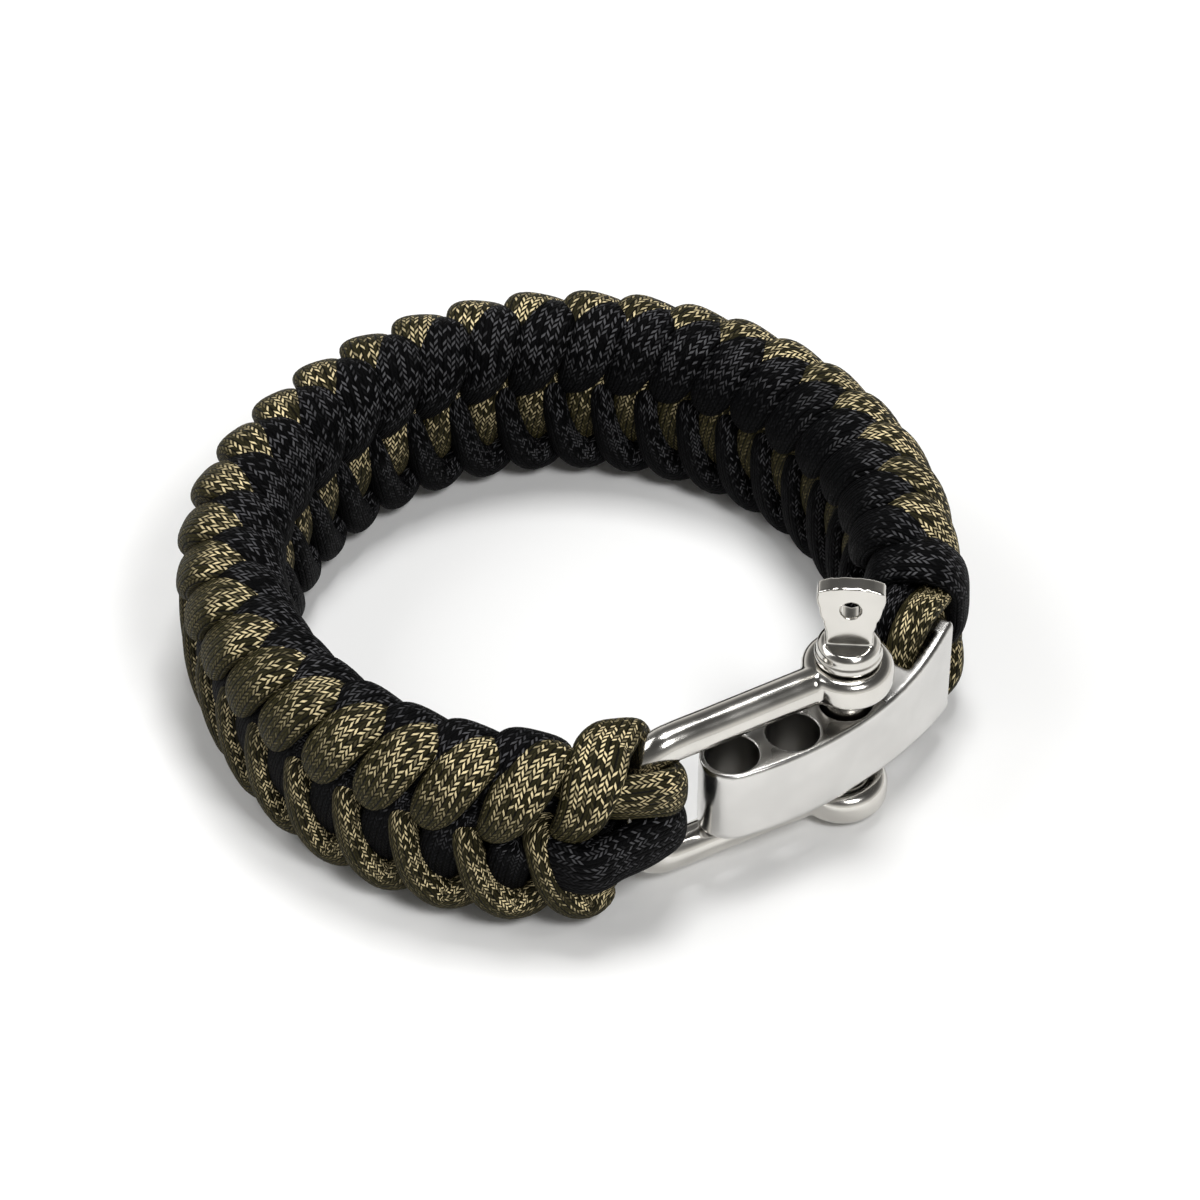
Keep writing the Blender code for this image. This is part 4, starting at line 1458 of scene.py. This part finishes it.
@dataclass
class AdjusterBar:
    """The curved bar with its row of holes, its round end and its taller end with a slot.

    The cut of its edges and the heights that its cutters range over are in millimetres.
    """

    ring: RingLine
    fittings: Fittings
    finishes: Finishes
    round_steps: int = 14
    edge_cut: float = 0.35
    cut_low: float = -5.0
    cut_high: float = 30.0

    def section(
        self, along: float, height: float, inner: float, outer: float, flare: float = 0.0
    ) -> np.ndarray:
        """Return one section of the bar.

        Args:
            along: Distance along the bar, in metres.
            height: Its height there, in millimetres.
            inner: Its inner side from the middle line, in millimetres.
            outer: Its outer side from the middle line, in millimetres.
            flare: Share of the flare there.

        Returns:
            The ring of points, in millimetres.
        """
        fit = self.fittings
        middle = (fit.bar_bottom + fit.bar_height / 2 + fit.end_lift * flare) / MM
        half = height / 2
        cut = min(self.edge_cut, max((outer - inner) / 5, 0.02))
        corners = (
            (outer, -half + cut), (outer, half - cut), (outer - cut, half), (inner + cut, half),
            (inner, half - cut), (inner, -half + cut), (inner + cut, -half), (outer - cut, -half),
        )
        return np.array([
            (*(fit.bar_place(self.ring, along, out * MM, 0.0)[:2] / MM), middle + up) for out, up in corners
        ])

    def body(self) -> Shell:
        """Make the bar before its holes are cut.

        Returns:
            Its surface.
        """
        fit = self.fittings
        half = fit.bar_thickness / 2 / MM
        height = fit.bar_height / MM
        table = np.array(BAR_ROWS)
        sections = []
        for share, flare, depth in smooth_route(table, 7, columns=1):
            flare, depth = max(flare, 0.0), float(np.clip(depth, 0.0, 1.0))
            tall = height + (fit.end_height / MM - height) * flare
            inner = -half - (fit.end_depth / MM - 2 * half) * depth
            sections.append(self.section(share * fit.bar_length, tall, inner, half, flare))
        start, end = table[-1, 0] * fit.bar_length, fit.bar_length - half * MM
        for along in np.linspace(start, end, 6)[1:-1]:
            sections.append(self.section(float(along), height, -half, half))
        for k in range(self.round_steps):
            turn = math.pi / 2 * k / self.round_steps
            reach = half * math.cos(turn)
            along = fit.bar_length - half * MM * (1 - math.sin(turn))
            sections.append(self.section(along, height, -reach, reach))
        return Shell.from_rings(np.array(sections))

    def cutters(self) -> list[Shell]:
        """Make the holes and the slot as solids to cut away.

        Returns:
            Their surfaces.
        """
        fit = self.fittings
        low, high = self.cut_low, self.cut_high
        radius = fit.hole_diameter / 2 / MM
        drill = np.array([(0.0, low), (radius, low), (radius, high), (0.0, high)])
        shells = [Shell.turned(drill, hole / MM, False) for hole in fit.holes(self.ring)]
        outer = fit.bar_thickness / 2 - fit.bar_wall
        inner = fit.bar_thickness / 2 - fit.end_depth + fit.bar_wall
        corners = ((outer, low), (outer, high), (inner, high), (inner, low))
        rings = []
        for share in np.linspace(0.0, 1.0, 12):
            along = fit.end_wall + fit.slot_length * float(share)
            rings.append([(*(fit.bar_place(self.ring, along, out, 0.0)[:2] / MM), up) for out, up in corners])
        return shells + [Shell.from_rings(np.array(rings))]

    def mark_painted_shade(self, mesh: bpy.types.Mesh) -> None:
        """Mark the drilled walls for painted shade, and the flat top and bottom for half of it, both with a
        rougher surface.

        Args:
            mesh: The bar's mesh, in metres.
        """
        read = {}
        for name in ("co", "normal"):
            read[name] = np.empty(3 * len(mesh.vertices))
            mesh.vertices.foreach_get(name, read[name])
        plan = read["co"].reshape(-1, 3)[:, :2]
        level = np.abs(read["normal"].reshape(-1, 3)[:, 2])
        # Half the painted shade on flat faces; full painted shade on the hole walls below.
        painted_shade = 0.5 * np.clip((level - 0.7) / 0.2, 0.0, 1.0)
        reach = self.fittings.hole_diameter / 2 + 0.25 * MM
        for hole in self.fittings.holes(self.ring):
            painted_shade[(np.linalg.norm(plan - hole, axis=1) < reach) & (level < 0.7)] = 1.0
        mark = mesh.attributes.new("painted_shade", "FLOAT", "POINT")
        mark.data.foreach_set("value", painted_shade.astype(np.float32))

    def build(self) -> list[Piece]:
        """Make and dress the bar.

        Returns:
            The pieces.
        """
        solid = PolishedSolid("polished_bar", "adjuster_bar", BAR_FINISH, grain=0.18, rounds=9)
        piece = solid.build(self.finishes, [self.body()], self.cutters())
        self.mark_painted_shade(piece.data)
        return [piece]


# The soft square lights. Columns: name, place in metres, side in metres and power in watts.
LIGHTS = (
    ("key", (0.05, 0.22, 0.95), 0.30, 5.0),
    ("front", (0.36, -0.52, 0.84), 0.30, 5.0),
    ("side", (-0.6, 0.1, 0.6), 0.5, 2.5),
)
# The room's brightness from straight below to straight above. Columns: share of the way, brightness.
ROOM_ROWS = ((0.0, 0.85), (0.48, 1.0), (0.60, 0.85), (0.70, 0.30), (0.80, 0.12), (1.0, 0.07))


@dataclass
class Studio:
    """The pale floor, the soft lights and the camera of the photo's view."""

    elevation: float = math.radians(43.0)
    distance: float = 0.503
    target_height: float = 0.009
    pixels_per_metre: float = 9620.0
    picture_side: float = 1200.0
    middle_x: float = 571.0
    middle_y: float = 604.0
    sensor: float = 36.0
    floor_side: float = 6.0
    room_strength: float = 0.9
    room_tint: Colour = (1.0, 0.985, 0.95)

    def camera(self) -> None:
        """Make the camera at the photo's angle and set it as the scene's camera."""
        data = bpy.data.cameras.new("photo_camera")
        data.sensor_width = self.sensor
        data.lens = self.sensor * self.pixels_per_metre * self.distance / self.picture_side
        data.shift_x = (self.picture_side / 2 - self.middle_x) / self.picture_side
        data.shift_y = (self.middle_y - self.picture_side / 2) / self.picture_side
        data.clip_start = 0.01
        data.clip_end = 20.0
        camera = new_thing("photo_camera", data)
        back = math.cos(self.elevation) * self.distance
        camera.location = (0.0, -back, self.target_height + math.sin(self.elevation) * self.distance)
        camera.rotation_euler = (math.pi / 2 - self.elevation, 0.0, 0.0)
        bpy.context.scene.camera = camera

    def lights(self) -> None:
        """Make the soft lights, which face the bracelet."""
        for name, place, size, power in LIGHTS:
            data = bpy.data.lights.new(name, "AREA")
            data.shape = "SQUARE"
            data.size = size
            data.energy = power
            lamp = new_thing(name, data)
            lamp.location = place
            aim = Vector((0.0, 0.0, 0.01)) - Vector(place)
            lamp.rotation_euler = aim.to_track_quat("-Z", "Y").to_euler()

    def floor(self) -> None:
        """Make the plain pale floor."""
        half = self.floor_side / 2
        corners = [(-half, -half, 0), (half, -half, 0), (half, half, 0), (-half, half, 0)]
        mesh = bpy.data.meshes.new("floor")
        mesh.from_pydata(corners, [], [(0, 1, 2, 3)])
        material = bpy.data.materials.new("floor_white")
        material.use_nodes = True
        surface = {"Base Color": (0.92, 0.92, 0.915, 1.0), "Roughness": 0.9, "Specular IOR Level": 0.1}
        Graph(material.node_tree).feed(material.node_tree.nodes["Principled BSDF"], surface)
        mesh.materials.append(material)
        new_thing("floor", mesh)

    def world(self) -> None:
        """Make the even light of a white room under a dim ceiling."""
        world = bpy.data.worlds.new("white_room")
        world.use_nodes = True
        graph = Graph(world.node_tree)
        direction = graph.add("SeparateXYZ", {0: graph.add("TexCoord").outputs["Generated"]})
        share = graph.math("MULTIPLY_ADD", direction.outputs["Z"], 0.5, 0.5)
        ramp = graph.add("ValToRGB", {"Fac": share})
        stops = ramp.color_ramp.elements
        while len(stops) < len(ROOM_ROWS):
            stops.new(0.5)
        for stop, (place, value) in zip(stops, ROOM_ROWS):
            stop.position = place
            stop.color = (*(value * channel for channel in self.room_tint), 1.0)
        light = {"Color": ramp.outputs["Color"], "Strength": self.room_strength}
        graph.feed(world.node_tree.nodes["Background"], light)
        bpy.context.scene.world = world

    def build(self) -> None:
        """Make the whole studio."""
        self.camera()
        self.floor()
        self.world()
        self.lights()
        settings = bpy.context.scene.view_settings
        settings.view_transform = "Standard"
        settings.look = "None"


def main() -> None:
    """Build the bracelet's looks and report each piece."""
    logging.basicConfig(level=logging.INFO, format="%(name)s %(message)s")
    Studio().build()
    ring = RingLine()
    weave_ring = RingLine(radius=34.3 * MM, oval=0.0, forward=0.3 * MM, shifts=HAND_SHIFTS)
    finishes = Finishes()
    fittings = Fittings()
    builders = (
        WovenBand(weave_ring, finishes),
        CoreStrands(weave_ring, finishes),
        CoreLoops(ring, fittings, finishes),
        EndWrap(weave_ring, finishes),
        Shackle(ring, fittings, finishes),
        ScrewPin(ring, fittings, finishes),
        AdjusterBar(ring, fittings, finishes),
    )
    for builder in builders:
        for piece in builder.build():
            LOG.info("%s: %d faces", piece.name, len(piece.data.polygons))


if __name__ == "__main__":
    main()
